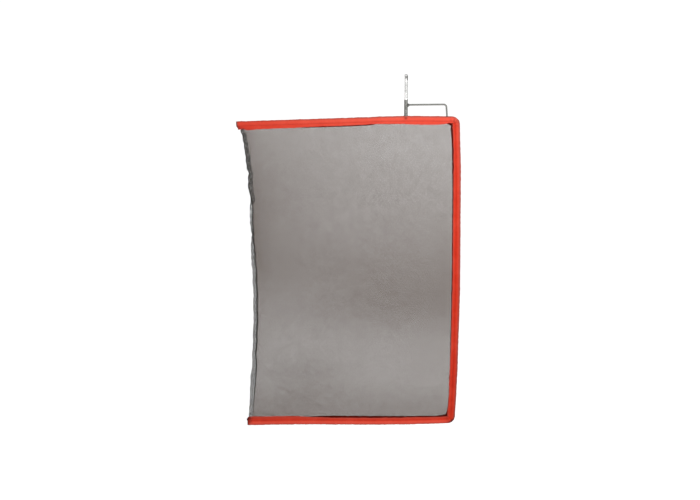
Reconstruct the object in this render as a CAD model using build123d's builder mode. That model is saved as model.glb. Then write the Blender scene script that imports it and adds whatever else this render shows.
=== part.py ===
from build123d import *
import math
import os

# Open-end double scrim (net) for film and photo lighting, 24 x 36 inch, with a 3/8 inch mounting pin.
# Frame: the scrim stands upright in the XZ plane, +Z up, front to -Y. The closed side of the U-shaped
# rod is on +X and the open side on -X. The origin is on the axis of the mounting pin, halfway up the
# bare length that a grip head clamps.

os.makedirs("parts", exist_ok=True)

# ---------------------------------------------------------------- driving dimensions, mm
ROD_D = 7.94            # 5/16 inch steel rod of the U-shaped frame
PIN_D = 9.525           # 3/8 inch mounting pin
BRACE_D = 4.76          # 3/16 inch brace rod
PIN_COAT = 0.18         # coating on the pin below the bare grip length
GRIP_LEN = 67.0         # bare, straight length of the pin
PIN_CHAMFER = 1.2
PIN_FROM_CLOSED_EDGE = 149.2    # pin axis to the outer edge of the closed side
GRIP_ABOVE_FRAME = 80.75        # grip centre to the outer top edge
FRAME_W = 609.6         # 24 inch over the binding
BEND_R = 18.0           # centreline radius of the two corner bends
CLOTH = 1.0             # binding cloth with its turned-in allowance
ROD_GAP = 0.05          # cloth to rod
SLOT = 0.9              # half the gap between the two leaves of the binding
BAND_IN = 17.0          # rod axis to the inner edge of the binding
STITCH_IN = 8.4         # rod axis to the seam that holds the rod in its tunnel
STITCH_W = 0.6
STITCH_T = 0.3
NET_T = 0.35            # one layer of net
NET_GAP = 0.1           # half the gap between the two layers
TAPE_IN = 8.4           # rod axis to the outer edge of the black tape
TAPE_T = 0.3
HEM_W = 12.5            # width of the turned hem on the open side
HEM_T = 1.35            # half its thickness
CAP_L = 2.4
BRACE_BEND_R = 8.0

BAND_R = ROD_D / 2 + ROD_GAP + CLOTH            # outside of the cloth round the rod
TUNNEL_R = ROD_D / 2 + ROD_GAP


def at(x, z):
    """A point of the frame's sheet, from the outer corner over the closed side, in the part's own frame."""
    return (x + PIN_FROM_CLOSED_EDGE, z - GRIP_ABOVE_FRAME)


# Centreline of the rod: upper arm, closed side, lower arm. The upper arm is straight out to the pin and
# drops towards its free end, pulled down by the net, and the closed side bows outward under the same pull.
UPPER = [at(-606.4, -15.9), at(-165.0, -3.4)]
TOP_CORNER = at(-7.8, -5.4)
SIDE = [at(-2.4, -150.0), at(1.6, -480.0), at(-1.2, -766.0)]
LOW_CORNER = at(-6.2, -908.2)
LOWER = [at(-110.0, -911.9), at(-230.0, -913.3), at(-450.0, -911.2), at(-606.4, -913.7)]
RAIL = UPPER + [TOP_CORNER] + SIDE + [LOW_CORNER] + LOWER
I_TOP = len(UPPER)
I_LOW = I_TOP + 1 + len(SIDE)


def unit(a, b):
    d = math.hypot(b[0] - a[0], b[1] - a[1])
    return ((b[0] - a[0]) / d, (b[1] - a[1]) / d)


def inset(points, dist):
    """The polyline moved dist towards the inside of the U, mitred at its corners."""
    out = []
    for i, p in enumerate(points):
        dirs = []
        if i > 0:
            dirs.append(unit(points[i - 1], p))
        if i < len(points) - 1:
            dirs.append(unit(p, points[i + 1]))
        normals = [(d[1], -d[0]) for d in dirs]
        n = (sum(k[0] for k in normals), sum(k[1] for k in normals))
        length = math.hypot(*n)
        n = (n[0] / length, n[1] / length)
        cosine = n[0] * normals[0][0] + n[1] * normals[0][1]
        out.append((p[0] + n[0] * dist / cosine, p[1] + n[1] * dist / cosine))
    return out


def radii(points, corners):
    """Bend radius at each inner point: BEND_R at the corners, and as gentle as the runs allow elsewhere."""
    out = []
    for i in range(1, len(points) - 1):
        a, b = unit(points[i - 1], points[i]), unit(points[i], points[i + 1])
        turn = abs(math.atan2(a[0] * b[1] - a[1] * b[0], a[0] * b[0] + a[1] * b[1]))
        run = min(math.dist(points[i - 1], points[i]), math.dist(points[i], points[i + 1]))
        out.append(BEND_R if i in corners else 0.42 * run / math.tan(turn / 2))
    return out


def in_space(points, y=0.0):
    return [(p[0], y, p[1]) for p in points]


RAIL_RADII = radii(RAIL, (I_TOP, I_LOW))
# The binding goes on past the ends of the rod.
tip_up = unit(RAIL[1], RAIL[0])
tip_low = unit(RAIL[-2], RAIL[-1])
END_UP = (RAIL[0][0] + tip_up[0] * 4.0, RAIL[0][1] + tip_up[1] * 4.0)
END_LOW = (RAIL[-1][0] + tip_low[0] * 4.0, RAIL[-1][1] + tip_low[1] * 4.0)
BAND = [END_UP] + RAIL[1:-1] + [END_LOW]


def longer(points, by):
    """The polyline with both ends drawn out along its end runs."""
    a, b = unit(points[1], points[0]), unit(points[-2], points[-1])
    first = (points[0][0] + a[0] * by, points[0][1] + a[1] * by)
    last = (points[-1][0] + b[0] * by, points[-1][1] + b[1] * by)
    return [first] + list(points[1:-1]) + [last]


PAST_BAND = longer(BAND, 3.0)

# Outer line of the open side, from the upper binding down to the lower one. The net pulls it in towards
# the middle in a long curve.
HEM_LINE = [
    at(-600.6, -33.6), at(-593.8, -66.0), at(-588.9, -120.0), at(-584.2, -190.0), at(-581.0, -260.0),
    at(-580.2, -350.0), at(-579.9, -450.0), at(-580.4, -540.0), at(-583.2, -630.0), at(-587.6, -710.0),
    at(-593.8, -770.0), at(-598.9, -825.0), at(-604.6, -894.6),
]


def beside(points, dist):
    """The hem's line moved dist into the net (+X side), level at both ends."""
    return [(p[0] + dist, p[1]) for p in points]


# ---------------------------------------------------------------- steel frame
with BuildPart() as frame_rod:
    with BuildLine() as rod_line:
        FilletPolyline(*in_space(RAIL), radius=RAIL_RADII)
    with BuildSketch(Plane(origin=rod_line.line @ 0, z_dir=rod_line.line % 0)):
        Circle(ROD_D / 2)
    sweep()
frame_rod.part.label = "frame_rod"
export_step(frame_rod.part, "parts/frame_rod.step")

ARM_AT_PIN = at(-PIN_FROM_CLOSED_EDGE, -3.6)[1]         # height of the rod's axis under the pin
PIN_FOOT = ARM_AT_PIN + 1.6
with BuildPart() as mounting_pin:
    with BuildSketch(Plane.XY.offset(PIN_FOOT)):
        Circle(PIN_D / 2 + PIN_COAT)
    extrude(amount=-GRIP_LEN / 2 - PIN_FOOT)
    with BuildSketch(Plane.XY.offset(-GRIP_LEN / 2)):
        Circle(PIN_D / 2)
    extrude(amount=GRIP_LEN + PIN_CHAMFER)
    chamfer(mounting_pin.edges().filter_by(GeomType.CIRCLE).sort_by(Axis.Z)[-1], PIN_CHAMFER)
    add(frame_rod.part, mode=Mode.SUBTRACT)
mounting_pin.part.label = "mounting_pin"
export_step(mounting_pin.part, "parts/mounting_pin.step")

# The brace leaves the pin almost level, turns down through a tight bend and stands on the arm.
BRACE = [(2.6, 0.0, at(0, 32.75)[1]), (at(-39.9, 0)[0], 0.0, at(0, 33.35)[1]), (at(-37.1, 0)[0], 0.0, at(0, -3.4)[1])]
with BuildPart() as brace_rod:
    with BuildLine() as brace_line:
        FilletPolyline(*BRACE, radius=BRACE_BEND_R)
    with BuildSketch(Plane(origin=brace_line.line @ 0, z_dir=brace_line.line % 0)):
        Circle(BRACE_D / 2)
    sweep()
    add(frame_rod.part, mode=Mode.SUBTRACT)
    add(mounting_pin.part, mode=Mode.SUBTRACT)
brace_rod.part.label = "brace_rod"
export_step(brace_rod.part, "parts/brace_rod.step")

# Weld beads: a ring round the pin's foot, a ring round the brace's foot, and a fillet where the brace
# meets the pin.
with BuildPart() as weld_pin_to_arm:
    with BuildSketch(Plane.XZ):
        with BuildLine():
            Polyline((0, ARM_AT_PIN + 1.6), (6.3, ARM_AT_PIN + 1.6), (6.1, ARM_AT_PIN + 3.6),
                     (5.4, ARM_AT_PIN + 5.9), (0, ARM_AT_PIN + 5.9), close=True)
        make_face()
    revolve(axis=Axis.Z)
    add(frame_rod.part, mode=Mode.SUBTRACT)
    add(mounting_pin.part, mode=Mode.SUBTRACT)
weld_pin_to_arm.part.label = "weld_pin_to_arm"
export_step(weld_pin_to_arm.part, "parts/weld_pin_to_arm.step")

FOOT_X = BRACE[2][0]
ARM_AT_FOOT = at(0, -5.05)[1]
with BuildPart() as weld_brace_to_arm:
    with BuildSketch(Plane.XY.offset(ARM_AT_FOOT + 2.4)):
        with Locations((FOOT_X - 0.2, 0)):
            Circle(3.9)
    with BuildSketch(Plane.XY.offset(ARM_AT_FOOT + 5.6)):
        with Locations((FOOT_X - 0.3, 0)):
            Circle(2.9)
    loft()
    add(frame_rod.part, mode=Mode.SUBTRACT)
    add(brace_rod.part, mode=Mode.SUBTRACT)
weld_brace_to_arm.part.label = "weld_brace_to_arm"
export_step(weld_brace_to_arm.part, "parts/weld_brace_to_arm.step")

with BuildPart() as weld_brace_to_pin:
    brace_z = BRACE[0][2]
    with BuildSketch(Plane(origin=(3.0, 0, brace_z - 0.7), x_dir=(0, 1, 0), z_dir=(1, 0, 0))):
        Ellipse(4.3, 5.0)
    with BuildSketch(Plane(origin=(9.6, 0, brace_z), x_dir=(0, 1, 0), z_dir=(1, 0, 0))):
        Ellipse(2.75, 2.75)
    loft()
    add(mounting_pin.part, mode=Mode.SUBTRACT)
    add(brace_rod.part, mode=Mode.SUBTRACT)
weld_brace_to_pin.part.label = "weld_brace_to_pin"
export_step(weld_brace_to_pin.part, "parts/weld_brace_to_pin.step")

# Soft caps that keep the cut ends of the rod from wearing through the cloth.
with BuildPart() as rod_tip_cap_upper:
    with BuildSketch(Plane(origin=(RAIL[0][0], 0, RAIL[0][1]), z_dir=(tip_up[0], 0, tip_up[1]))):
        Circle(ROD_D / 2)
    extrude(amount=CAP_L)
    fillet(rod_tip_cap_upper.edges().filter_by(GeomType.CIRCLE).sort_by(Axis.X)[0], 1.6)
rod_tip_cap_upper.part.label = "rod_tip_cap_upper"
export_step(rod_tip_cap_upper.part, "parts/rod_tip_cap_upper.step")

with BuildPart() as rod_tip_cap_lower:
    with BuildSketch(Plane(origin=(RAIL[-1][0], 0, RAIL[-1][1]), z_dir=(tip_low[0], 0, tip_low[1]))):
        Circle(ROD_D / 2)
    extrude(amount=CAP_L)
    fillet(rod_tip_cap_lower.edges().filter_by(GeomType.CIRCLE).sort_by(Axis.X)[0], 1.6)
rod_tip_cap_lower.part.label = "rod_tip_cap_lower"
export_step(rod_tip_cap_lower.part, "parts/rod_tip_cap_lower.step")

# ---------------------------------------------------------------- red binding
# One folded section for all three strips: a tunnel round the rod and two leaves that hold the net
# between them. It is split at the two mitres afterwards.
with BuildPart() as binding_blank:
    with BuildLine() as band_line:
        FilletPolyline(*in_space(BAND), radius=RAIL_RADII)
    with BuildSketch(Plane(origin=band_line.line @ 0, z_dir=band_line.line % 0)):
        Circle(BAND_R)
    sweep()
    outline = BAND + inset(BAND, BAND_IN)[::-1]
    outline[-1] = (outline[-1][0] + 5.0, outline[-1][1])        # the upper end is cut on a slant
    with BuildSketch(Plane.XZ):
        with BuildLine():
            Polyline(*outline, close=True)
        make_face()
    extrude(amount=SLOT + CLOTH, both=True)

with BuildPart() as binding_core:
    with BuildLine() as core_line:
        FilletPolyline(*in_space(PAST_BAND), radius=RAIL_RADII)
    with BuildSketch(Plane(origin=core_line.line @ 0, z_dir=core_line.line % 0)):
        Circle(TUNNEL_R)
    sweep()
    with BuildSketch(Plane.XZ):
        with BuildLine():
            Polyline(*PAST_BAND, *inset(PAST_BAND, BAND_IN + 2)[::-1], close=True)
        make_face()
        fillet([v for v in vertices() if min(
            math.dist((v.X, v.Z), TOP_CORNER), math.dist((v.X, v.Z), LOW_CORNER)) < 1.0], BEND_R)
    extrude(amount=SLOT, both=True)

# The corner of the plates is cut back to the bend of the tunnel.
with BuildPart() as corner_trim:
    for corner, before, after in ((TOP_CORNER, RAIL[I_TOP - 1], RAIL[I_TOP + 1]), (LOW_CORNER, RAIL[I_LOW - 1], RAIL[I_LOW + 1])):
        a, b = unit(corner, before), unit(corner, after)
        centre = (corner[0] + (a[0] + b[0]) * BEND_R, corner[1] + (a[1] + b[1]) * BEND_R)
        outer = (corner[0] - (a[0] + b[0]) * 8, corner[1] - (a[1] + b[1]) * 8)
        with BuildSketch(Plane.XZ):
            with BuildLine():
                Polyline(centre, (centre[0] - b[0] * (BEND_R + 8), centre[1] - b[1] * (BEND_R + 8)), outer,
                         (centre[0] - a[0] * (BEND_R + 8), centre[1] - a[1] * (BEND_R + 8)), close=True)
            make_face()
            with Locations(centre):
                Circle(BEND_R + BAND_R - 0.4, mode=Mode.SUBTRACT)
        extrude(amount=SLOT + CLOTH + 0.2, both=True)


def mitre(corner, inner, sign, gap=0.05):
    """The plane through a corner's mitre, facing along the arm (sign 1) or along the closed side (-1)."""
    d = unit(corner, inner)
    n = (-d[1] * sign, d[0] * sign)
    return Plane(origin=(corner[0] + n[0] * gap, 0, corner[1] + n[1] * gap), x_dir=(0, 1, 0), z_dir=(n[0], 0, n[1]))


INNER = inset(BAND, BAND_IN)


def facing(corner, inner, towards):
    """The mitre plane whose normal points to the side that the point towards is on."""
    d = unit(corner, inner)
    n = (-d[1], d[0])
    side = n[0] * (towards[0] - corner[0]) + n[1] * (towards[1] - corner[1])
    return mitre(corner, inner, 1 if side > 0 else -1)


TOP_TO_ARM = facing(TOP_CORNER, INNER[I_TOP], RAIL[0])
TOP_TO_SIDE = facing(TOP_CORNER, INNER[I_TOP], RAIL[I_TOP + 1])
LOW_TO_SIDE = facing(LOW_CORNER, INNER[I_LOW], RAIL[I_LOW - 1])
LOW_TO_ARM = facing(LOW_CORNER, INNER[I_LOW], RAIL[-1])

with BuildPart() as binding_upper:
    add(binding_blank.part)
    add(corner_trim.part, mode=Mode.SUBTRACT)
    add(binding_core.part, mode=Mode.SUBTRACT)
    split(bisect_by=TOP_TO_ARM, keep=Keep.TOP)
    with Locations((0, 0, ARM_AT_PIN + 11.0)):
        Cylinder(6.7, 20.0, mode=Mode.SUBTRACT)         # slit that the pin and its weld come up through
    with Locations((FOOT_X - 0.2, 0, ARM_AT_FOOT + 11.6)):
        Cylinder(4.2, 20.0, mode=Mode.SUBTRACT)         # slit for the brace's foot
    split(bisect_by=Plane(origin=(0, 0, (TOP_CORNER[1] + LOW_CORNER[1]) / 2)), keep=Keep.TOP)
binding_upper.part.label = "binding_upper"
export_step(binding_upper.part, "parts/binding_upper.step")

with BuildPart() as binding_side:
    add(binding_blank.part)
    add(corner_trim.part, mode=Mode.SUBTRACT)
    add(binding_core.part, mode=Mode.SUBTRACT)
    split(bisect_by=TOP_TO_SIDE, keep=Keep.TOP)
    split(bisect_by=LOW_TO_SIDE, keep=Keep.TOP)
    split(bisect_by=Plane(origin=(TOP_CORNER[0] - 60, 0, 0), z_dir=(1, 0, 0)), keep=Keep.TOP)
binding_side.part.label = "binding_side"
export_step(binding_side.part, "parts/binding_side.step")

with BuildPart() as binding_lower:
    add(binding_blank.part)
    add(corner_trim.part, mode=Mode.SUBTRACT)
    add(binding_core.part, mode=Mode.SUBTRACT)
    split(bisect_by=LOW_TO_ARM, keep=Keep.TOP)
    split(bisect_by=Plane(origin=(0, 0, (TOP_CORNER[1] + LOW_CORNER[1]) / 2)), keep=Keep.BOTTOM)
binding_lower.part.label = "binding_lower"
export_step(binding_lower.part, "parts/binding_lower.step")

# ---------------------------------------------------------------- black tape round the net's edge
# The tape is folded over the net's edge inside the binding, and shows as a thin black line where the
# binding has drawn back from it: most at the two inner corners.
tape_out = inset(BAND, TAPE_IN)
tape_edge = inset(BAND, TAPE_IN + TAPE_T + 0.05)


def tape_strip(i0, i1, shows):
    """Outline of a tape strip between two points of the band, with how far it shows at each."""
    lines = [inset(BAND, BAND_IN + s) for s in shows]
    near = tape_out[i0:i1 + 1]
    far = [lines[k][i] for k, i in enumerate(range(i0, i1 + 1))]
    return near, far


def tape(i0, i1, shows):
    near, far = tape_strip(i0, i1, shows)
    with BuildSketch(Plane.XZ) as folded:
        with BuildLine():
            Polyline(*near, *far[::-1], close=True)
        make_face()
    extrude(folded.sketch, amount=SLOT - 0.05, both=True)
    with BuildSketch(Plane.XZ) as inside:
        with BuildLine():
            Polyline(*tape_edge[i0:i1 + 1], *inset(BAND, BAND_IN + 8)[i0:i1 + 1][::-1], close=True)
        make_face()
    extrude(inside.sketch, amount=SLOT - 0.05 - TAPE_T, both=True, mode=Mode.SUBTRACT)


with BuildPart() as edge_tape_upper:
    tape(0, I_TOP, [0.5, 0.8, 3.2])
    split(bisect_by=facing(TOP_CORNER, INNER[I_TOP], RAIL[0]), keep=Keep.TOP)
edge_tape_upper.part.label = "edge_tape_upper"
export_step(edge_tape_upper.part, "parts/edge_tape_upper.step")

with BuildPart() as edge_tape_side:
    tape(I_TOP, I_LOW, [4.4, 2.6, 0.6, 0.4, 2.2])
    split(bisect_by=TOP_TO_SIDE, keep=Keep.TOP)
    split(bisect_by=LOW_TO_SIDE, keep=Keep.TOP)
edge_tape_side.part.label = "edge_tape_side"
export_step(edge_tape_side.part, "parts/edge_tape_side.step")

with BuildPart() as edge_tape_lower:
    tape(I_LOW, len(BAND) - 1, [3.4, 1.4, 0.9, 0.5, 0.4])
    split(bisect_by=LOW_TO_ARM, keep=Keep.TOP)
edge_tape_lower.part.label = "edge_tape_lower"
export_step(edge_tape_lower.part, "parts/edge_tape_lower.step")

# ---------------------------------------------------------------- net, two layers
net_edge = inset(BAND, TAPE_IN + TAPE_T + 0.6)
NET_OUTLINE = (
    [(HEM_LINE[0][0] + 4.2, net_edge[0][1])] + net_edge[1:-1] + [(HEM_LINE[-1][0] + 4.2, net_edge[-1][1])]
    + beside(HEM_LINE, 4.2)[::-1]
)

with BuildPart() as net_front:
    with BuildSketch(Plane.XZ.offset(NET_GAP)):
        with BuildLine():
            Polyline(*NET_OUTLINE, close=True)
        make_face()
    extrude(amount=NET_T)
net_front.part.label = "net_front"
export_step(net_front.part, "parts/net_front.step")

with BuildPart() as net_back:
    with BuildSketch(Plane.XZ.offset(-NET_GAP)):
        with BuildLine():
            Polyline(*NET_OUTLINE, close=True)
        make_face()
    extrude(amount=-NET_T)
net_back.part.label = "net_back"
export_step(net_back.part, "parts/net_back.step")

# ---------------------------------------------------------------- hem of the open side
# The hem is folded over the raw edges of both layers.

with BuildPart() as open_edge_hem:
    with BuildSketch(Plane.XZ):
        with BuildLine():
            Polyline(*HEM_LINE, *beside(HEM_LINE, HEM_W)[::-1], close=True)
        make_face()
    extrude(amount=HEM_T, both=True)
    with BuildSketch(Plane.XZ):
        with BuildLine():
            Polyline(*beside(longer(HEM_LINE, 2.0), 3.6), *beside(longer(HEM_LINE, 2.0), HEM_W + 4)[::-1], close=True)
        make_face()
    extrude(amount=NET_GAP + NET_T + 0.05, both=True, mode=Mode.SUBTRACT)
open_edge_hem.part.label = "open_edge_hem"
export_step(open_edge_hem.part, "parts/open_edge_hem.step")

# ---------------------------------------------------------------- thread
# Each seam is one thin run of thread on the front and one on the back.
SEAM_A, SEAM_B = inset(BAND, STITCH_IN), inset(BAND, STITCH_IN + STITCH_W)
FACE_Y = SLOT + CLOTH


def clipped(points, start, end):
    """The polyline with its first and last points drawn in along it."""
    out = list(points)
    a, b = unit(out[0], out[1]), unit(out[-1], out[-2])
    out[0] = (out[0][0] + a[0] * start, out[0][1] + a[1] * start)
    out[-1] = (out[-1][0] + b[0] * end, out[-1][1] + b[1] * end)
    return out


def seam(a, b):
    with BuildSketch(Plane.XZ.offset(FACE_Y)) as run:
        with BuildLine():
            Polyline(*a, *b[::-1], close=True)
        make_face()
    front = extrude(run.sketch, amount=STITCH_T)
    mirror(front, about=Plane.XZ)


with BuildPart() as stitching_upper:
    seam(clipped(SEAM_A[0:I_TOP + 1], 14, 4), clipped(SEAM_B[0:I_TOP + 1], 14, 4))
stitching_upper.part.label = "stitching_upper"
export_step(stitching_upper.part, "parts/stitching_upper.step")

with BuildPart() as stitching_side:
    seam(clipped(SEAM_A[I_TOP:I_LOW + 1], 4, 4), clipped(SEAM_B[I_TOP:I_LOW + 1], 4, 4))
stitching_side.part.label = "stitching_side"
export_step(stitching_side.part, "parts/stitching_side.step")

with BuildPart() as stitching_lower:
    seam(clipped(SEAM_A[I_LOW:], 4, 14), clipped(SEAM_B[I_LOW:], 4, 14))
stitching_lower.part.label = "stitching_lower"
export_step(stitching_lower.part, "parts/stitching_lower.step")

with BuildPart() as hem_stitching:
    line = clipped(HEM_LINE, 4, 4)
    with BuildSketch(Plane.XZ.offset(HEM_T)):
        with BuildLine():
            Polyline(*beside(line, HEM_W - 1.7), *beside(line, HEM_W - 1.1)[::-1], close=True)
        make_face()
    extrude(amount=STITCH_T)
    mirror(about=Plane.XZ)
hem_stitching.part.label = "hem_stitching"
export_step(hem_stitching.part, "parts/hem_stitching.step")

# Bar tacks that close the ends of the two arms, two on each face of each arm.
with BuildPart() as arm_end_tacks:
    for a, b, c in ((BAND[0], BAND[1], 1), (BAND[-1], BAND[-2], -1)):
        d = unit(a, b)
        n = (d[1] * c, -d[0] * c)
        for along in (7.0, 11.5):
            for near in (5.9,):
                p = (a[0] + d[0] * along + n[0] * near, a[1] + d[1] * along + n[1] * near)
                q = (p[0] + n[0] * 9.2, p[1] + n[1] * 9.2)
                w = (d[0] * 1.6, d[1] * 1.6)
                with BuildSketch(Plane.XZ.offset(FACE_Y)):
                    with BuildLine():
                        Polyline(p, q, (q[0] + w[0], q[1] + w[1]), (p[0] + w[0], p[1] + w[1]), close=True)
                    make_face()
                extrude(amount=STITCH_T)
    mirror(about=Plane.XZ)
arm_end_tacks.part.label = "arm_end_tacks"
export_step(arm_end_tacks.part, "parts/arm_end_tacks.step")

# Hand-closed seams along the two mitres, just on the arms' side of each.
with BuildPart() as corner_seams:
    for i, towards in ((I_TOP, RAIL[0]), (I_LOW, RAIL[-1])):
        corner = BAND[i]
        d = unit(corner, INNER[i])
        n = (-d[1], d[0])
        if n[0] * (towards[0] - corner[0]) + n[1] * (towards[1] - corner[1]) < 0:
            n = (-n[0], -n[1])
        p = (corner[0] + d[0] * 13.2 + n[0] * 0.4, corner[1] + d[1] * 13.2 + n[1] * 0.4)
        q = (p[0] + d[0] * 9.0, p[1] + d[1] * 9.0)
        w = (n[0] * 0.9, n[1] * 0.9)
        with BuildSketch(Plane.XZ.offset(FACE_Y)):
            with BuildLine():
                Polyline(p, q, (q[0] + w[0], q[1] + w[1]), (p[0] + w[0], p[1] + w[1]), close=True)
            make_face()
        extrude(amount=STITCH_T)
    mirror(about=Plane.XZ)
corner_seams.part.label = "corner_seams"
export_step(corner_seams.part, "parts/corner_seams.step")
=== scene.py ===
import math

import bpy
import numpy as np
from mathutils import Matrix, Vector


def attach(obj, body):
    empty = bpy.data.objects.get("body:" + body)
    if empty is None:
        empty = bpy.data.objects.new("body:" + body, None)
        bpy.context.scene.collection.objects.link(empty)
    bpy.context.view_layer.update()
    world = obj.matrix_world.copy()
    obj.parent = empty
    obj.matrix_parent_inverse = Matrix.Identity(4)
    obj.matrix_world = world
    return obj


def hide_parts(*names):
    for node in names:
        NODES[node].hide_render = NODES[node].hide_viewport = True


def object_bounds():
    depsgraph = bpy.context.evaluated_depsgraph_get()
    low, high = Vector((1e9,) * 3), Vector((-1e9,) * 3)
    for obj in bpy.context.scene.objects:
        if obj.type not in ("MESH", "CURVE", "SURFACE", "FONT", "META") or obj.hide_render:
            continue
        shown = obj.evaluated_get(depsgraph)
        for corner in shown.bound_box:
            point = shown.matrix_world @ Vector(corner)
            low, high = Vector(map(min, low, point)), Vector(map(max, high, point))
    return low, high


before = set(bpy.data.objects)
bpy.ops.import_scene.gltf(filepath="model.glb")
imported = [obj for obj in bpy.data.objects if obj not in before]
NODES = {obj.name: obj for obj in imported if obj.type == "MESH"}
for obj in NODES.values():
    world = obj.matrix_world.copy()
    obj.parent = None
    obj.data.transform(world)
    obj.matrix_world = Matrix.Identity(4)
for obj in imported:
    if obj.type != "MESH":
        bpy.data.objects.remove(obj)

CAD_BOX = [list(map(float, p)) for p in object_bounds()]
MM = 0.001

# ------------------------------------------------------------------ the object's own lines, in millimetres
PIN_FROM_CLOSED_EDGE = 149.2
GRIP_ABOVE_FRAME = 80.75
ROD_R = 3.97
BEND_R = 18.0
BAND_IN = 17.0
SEAM_IN = 8.7
STITCH_PITCH = 3.4


def at(x, z):
    return np.array([x + PIN_FROM_CLOSED_EDGE, z - GRIP_ABOVE_FRAME])


UPPER = [at(-606.4, -15.9), at(-165.0, -3.4)]
TOP_CORNER = at(-7.8, -5.4)
SIDE = [at(-2.4, -150.0), at(1.6, -480.0), at(-1.2, -766.0)]
LOW_CORNER = at(-6.2, -908.2)
LOWER = [at(-110.0, -911.9), at(-230.0, -913.3), at(-450.0, -911.2), at(-606.4, -913.7)]
HEM_LINE = np.array([
    at(-600.6, -33.6), at(-593.8, -66.0), at(-588.9, -120.0), at(-584.2, -190.0), at(-581.0, -260.0),
    at(-580.2, -350.0), at(-579.9, -450.0), at(-580.4, -540.0), at(-583.2, -630.0), at(-587.6, -710.0),
    at(-593.8, -770.0), at(-598.9, -825.0), at(-604.6, -894.6),
])


def unit(v):
    return v / np.linalg.norm(v)


UPPER[0] = UPPER[0] + unit(UPPER[0] - UPPER[1]) * 4.0
LOWER[-1] = LOWER[-1] + unit(LOWER[-1] - LOWER[-2]) * 4.0


class Wave:
    """Smooth repeatable variation along one or two directions, roughly from -1 to 1."""

    def __init__(self, seed, shortest, longest, count=7, slant=1.0):
        r = np.random.RandomState(seed)
        self.k = 2 * np.pi / np.exp(r.uniform(np.log(shortest), np.log(longest), count))
        self.a = r.uniform(0.6, 1.0, count) * self.k ** -0.4
        self.a /= np.sqrt((self.a ** 2).sum() / 2) * 1.6
        self.p = r.uniform(0, 2 * np.pi, count)
        self.m = r.uniform(-slant, slant, count)

    def __call__(self, s, t=0.0):
        s, t = np.asarray(s, float), np.asarray(t, float)
        out = 0.0
        for k, a, p, m in zip(self.k, self.a, self.p, self.m):
            out = out + a * np.sin(k * (s + m * t) + p)
        return out


def bump(x, centre, width):
    return np.exp(-((np.asarray(x, float) - centre) / width) ** 2)


def smooth(x, a, b):
    t = np.clip((np.asarray(x, float) - a) / (b - a), 0, 1)
    return t * t * (3 - 2 * t)


# ------------------------------------------------------------------ strips along the frame
class Strip:
    """Coordinates along one arm of the frame: q along it and u from the rod's axis towards the net, with
    the corner ends fanned round the rod's bend and closed on the mitre."""

    LAST = 30.0

    def __init__(self, points, before=None, after=None):
        self.points = [np.asarray(p, float) for p in points]
        self.before, self.after = before, after
        pts = [self.points[0]]
        for i in range(1, len(self.points) - 1):
            a, p, b = self.points[i - 1], self.points[i], self.points[i + 1]
            d0, d1 = unit(p - a), unit(b - p)
            run = min(np.linalg.norm(p - a), np.linalg.norm(b - p)) * 0.42
            p0, p1 = p - d0 * run, p + d1 * run
            for t in np.linspace(0, 1, 24):
                pts.append((1 - t) ** 2 * p0 + 2 * t * (1 - t) * p + t * t * p1)
        pts.append(self.points[-1])
        self.line = np.array(pts)
        self.s = np.concatenate([[0], np.cumsum(np.linalg.norm(np.diff(self.line, axis=0), axis=1))])
        self.length = float(self.s[-1])

    def centre(self, q):
        x = np.interp(q, self.s, self.line[:, 0])
        z = np.interp(q, self.s, self.line[:, 1])
        e = 2.0
        inside = min(max(q, 0.0), self.length)
        a, b = max(inside - e, 0), min(inside + e, self.length)
        d = unit(np.array([np.interp(b, self.s, self.line[:, 0]) - np.interp(a, self.s, self.line[:, 0]),
                           np.interp(b, self.s, self.line[:, 1]) - np.interp(a, self.s, self.line[:, 1])]))
        past = q - inside
        return np.array([x, z]) + past * d, d

    def corner(self, q, u, vertex, toward, away):
        """Points at offsets u, q back from a corner's vertex. toward points along this arm to the corner,
        and away along the next one."""
        turn = math.acos(max(-1, min(1, float(toward @ away))))
        cut = BEND_R * math.tan(turn / 2)
        n = np.array([toward[1], -toward[0]])
        if n @ away < 0:
            n = -n
        w = (self.LAST - q) / self.LAST
        end = np.where(u < BEND_R, 0.0, u * math.tan(turn / 2))
        straight = np.where(u < BEND_R, self.LAST - cut, self.LAST - end)
        arc = np.where(u < BEND_R, (BEND_R - u) * turn / 2, 0.0)
        go = w * (straight + arc)
        along = np.minimum(go, straight)
        left = np.maximum(go - straight, 0)
        angle = left / np.maximum(BEND_R - u, 1e-6)
        o = vertex - toward * cut + n * BEND_R
        base = vertex - toward * self.LAST
        out = base + along[:, None] * toward + u[:, None] * n
        bent = o + (BEND_R - u)[:, None] * (-np.cos(angle)[:, None] * n + np.sin(angle)[:, None] * toward)
        return np.where((left > 0)[:, None], bent, out)

    def place(self, q, u):
        """Points in the frame's plane at distance q along the strip, for an array of offsets u."""
        u = np.asarray(u, float)
        if self.after is not None and q > self.length - self.LAST:
            v = self.points[-1]
            return self.corner(self.length - q, u, v, unit(v - self.points[-2]), unit(self.after - v))
        if self.before is not None and q < self.LAST:
            v = self.points[0]
            return self.corner(q, u, v, unit(v - self.points[1]), unit(self.before - v))
        c, d = self.centre(q)
        return c + u[:, None] * np.array([d[1], -d[0]])


STRIPS = {
    "upper": Strip(UPPER + [TOP_CORNER], after=SIDE[0]),
    "side": Strip([TOP_CORNER] + SIDE + [LOW_CORNER], before=UPPER[1], after=LOWER[0]),
    "lower": Strip([LOW_CORNER] + LOWER, before=SIDE[-1]),
}


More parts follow.
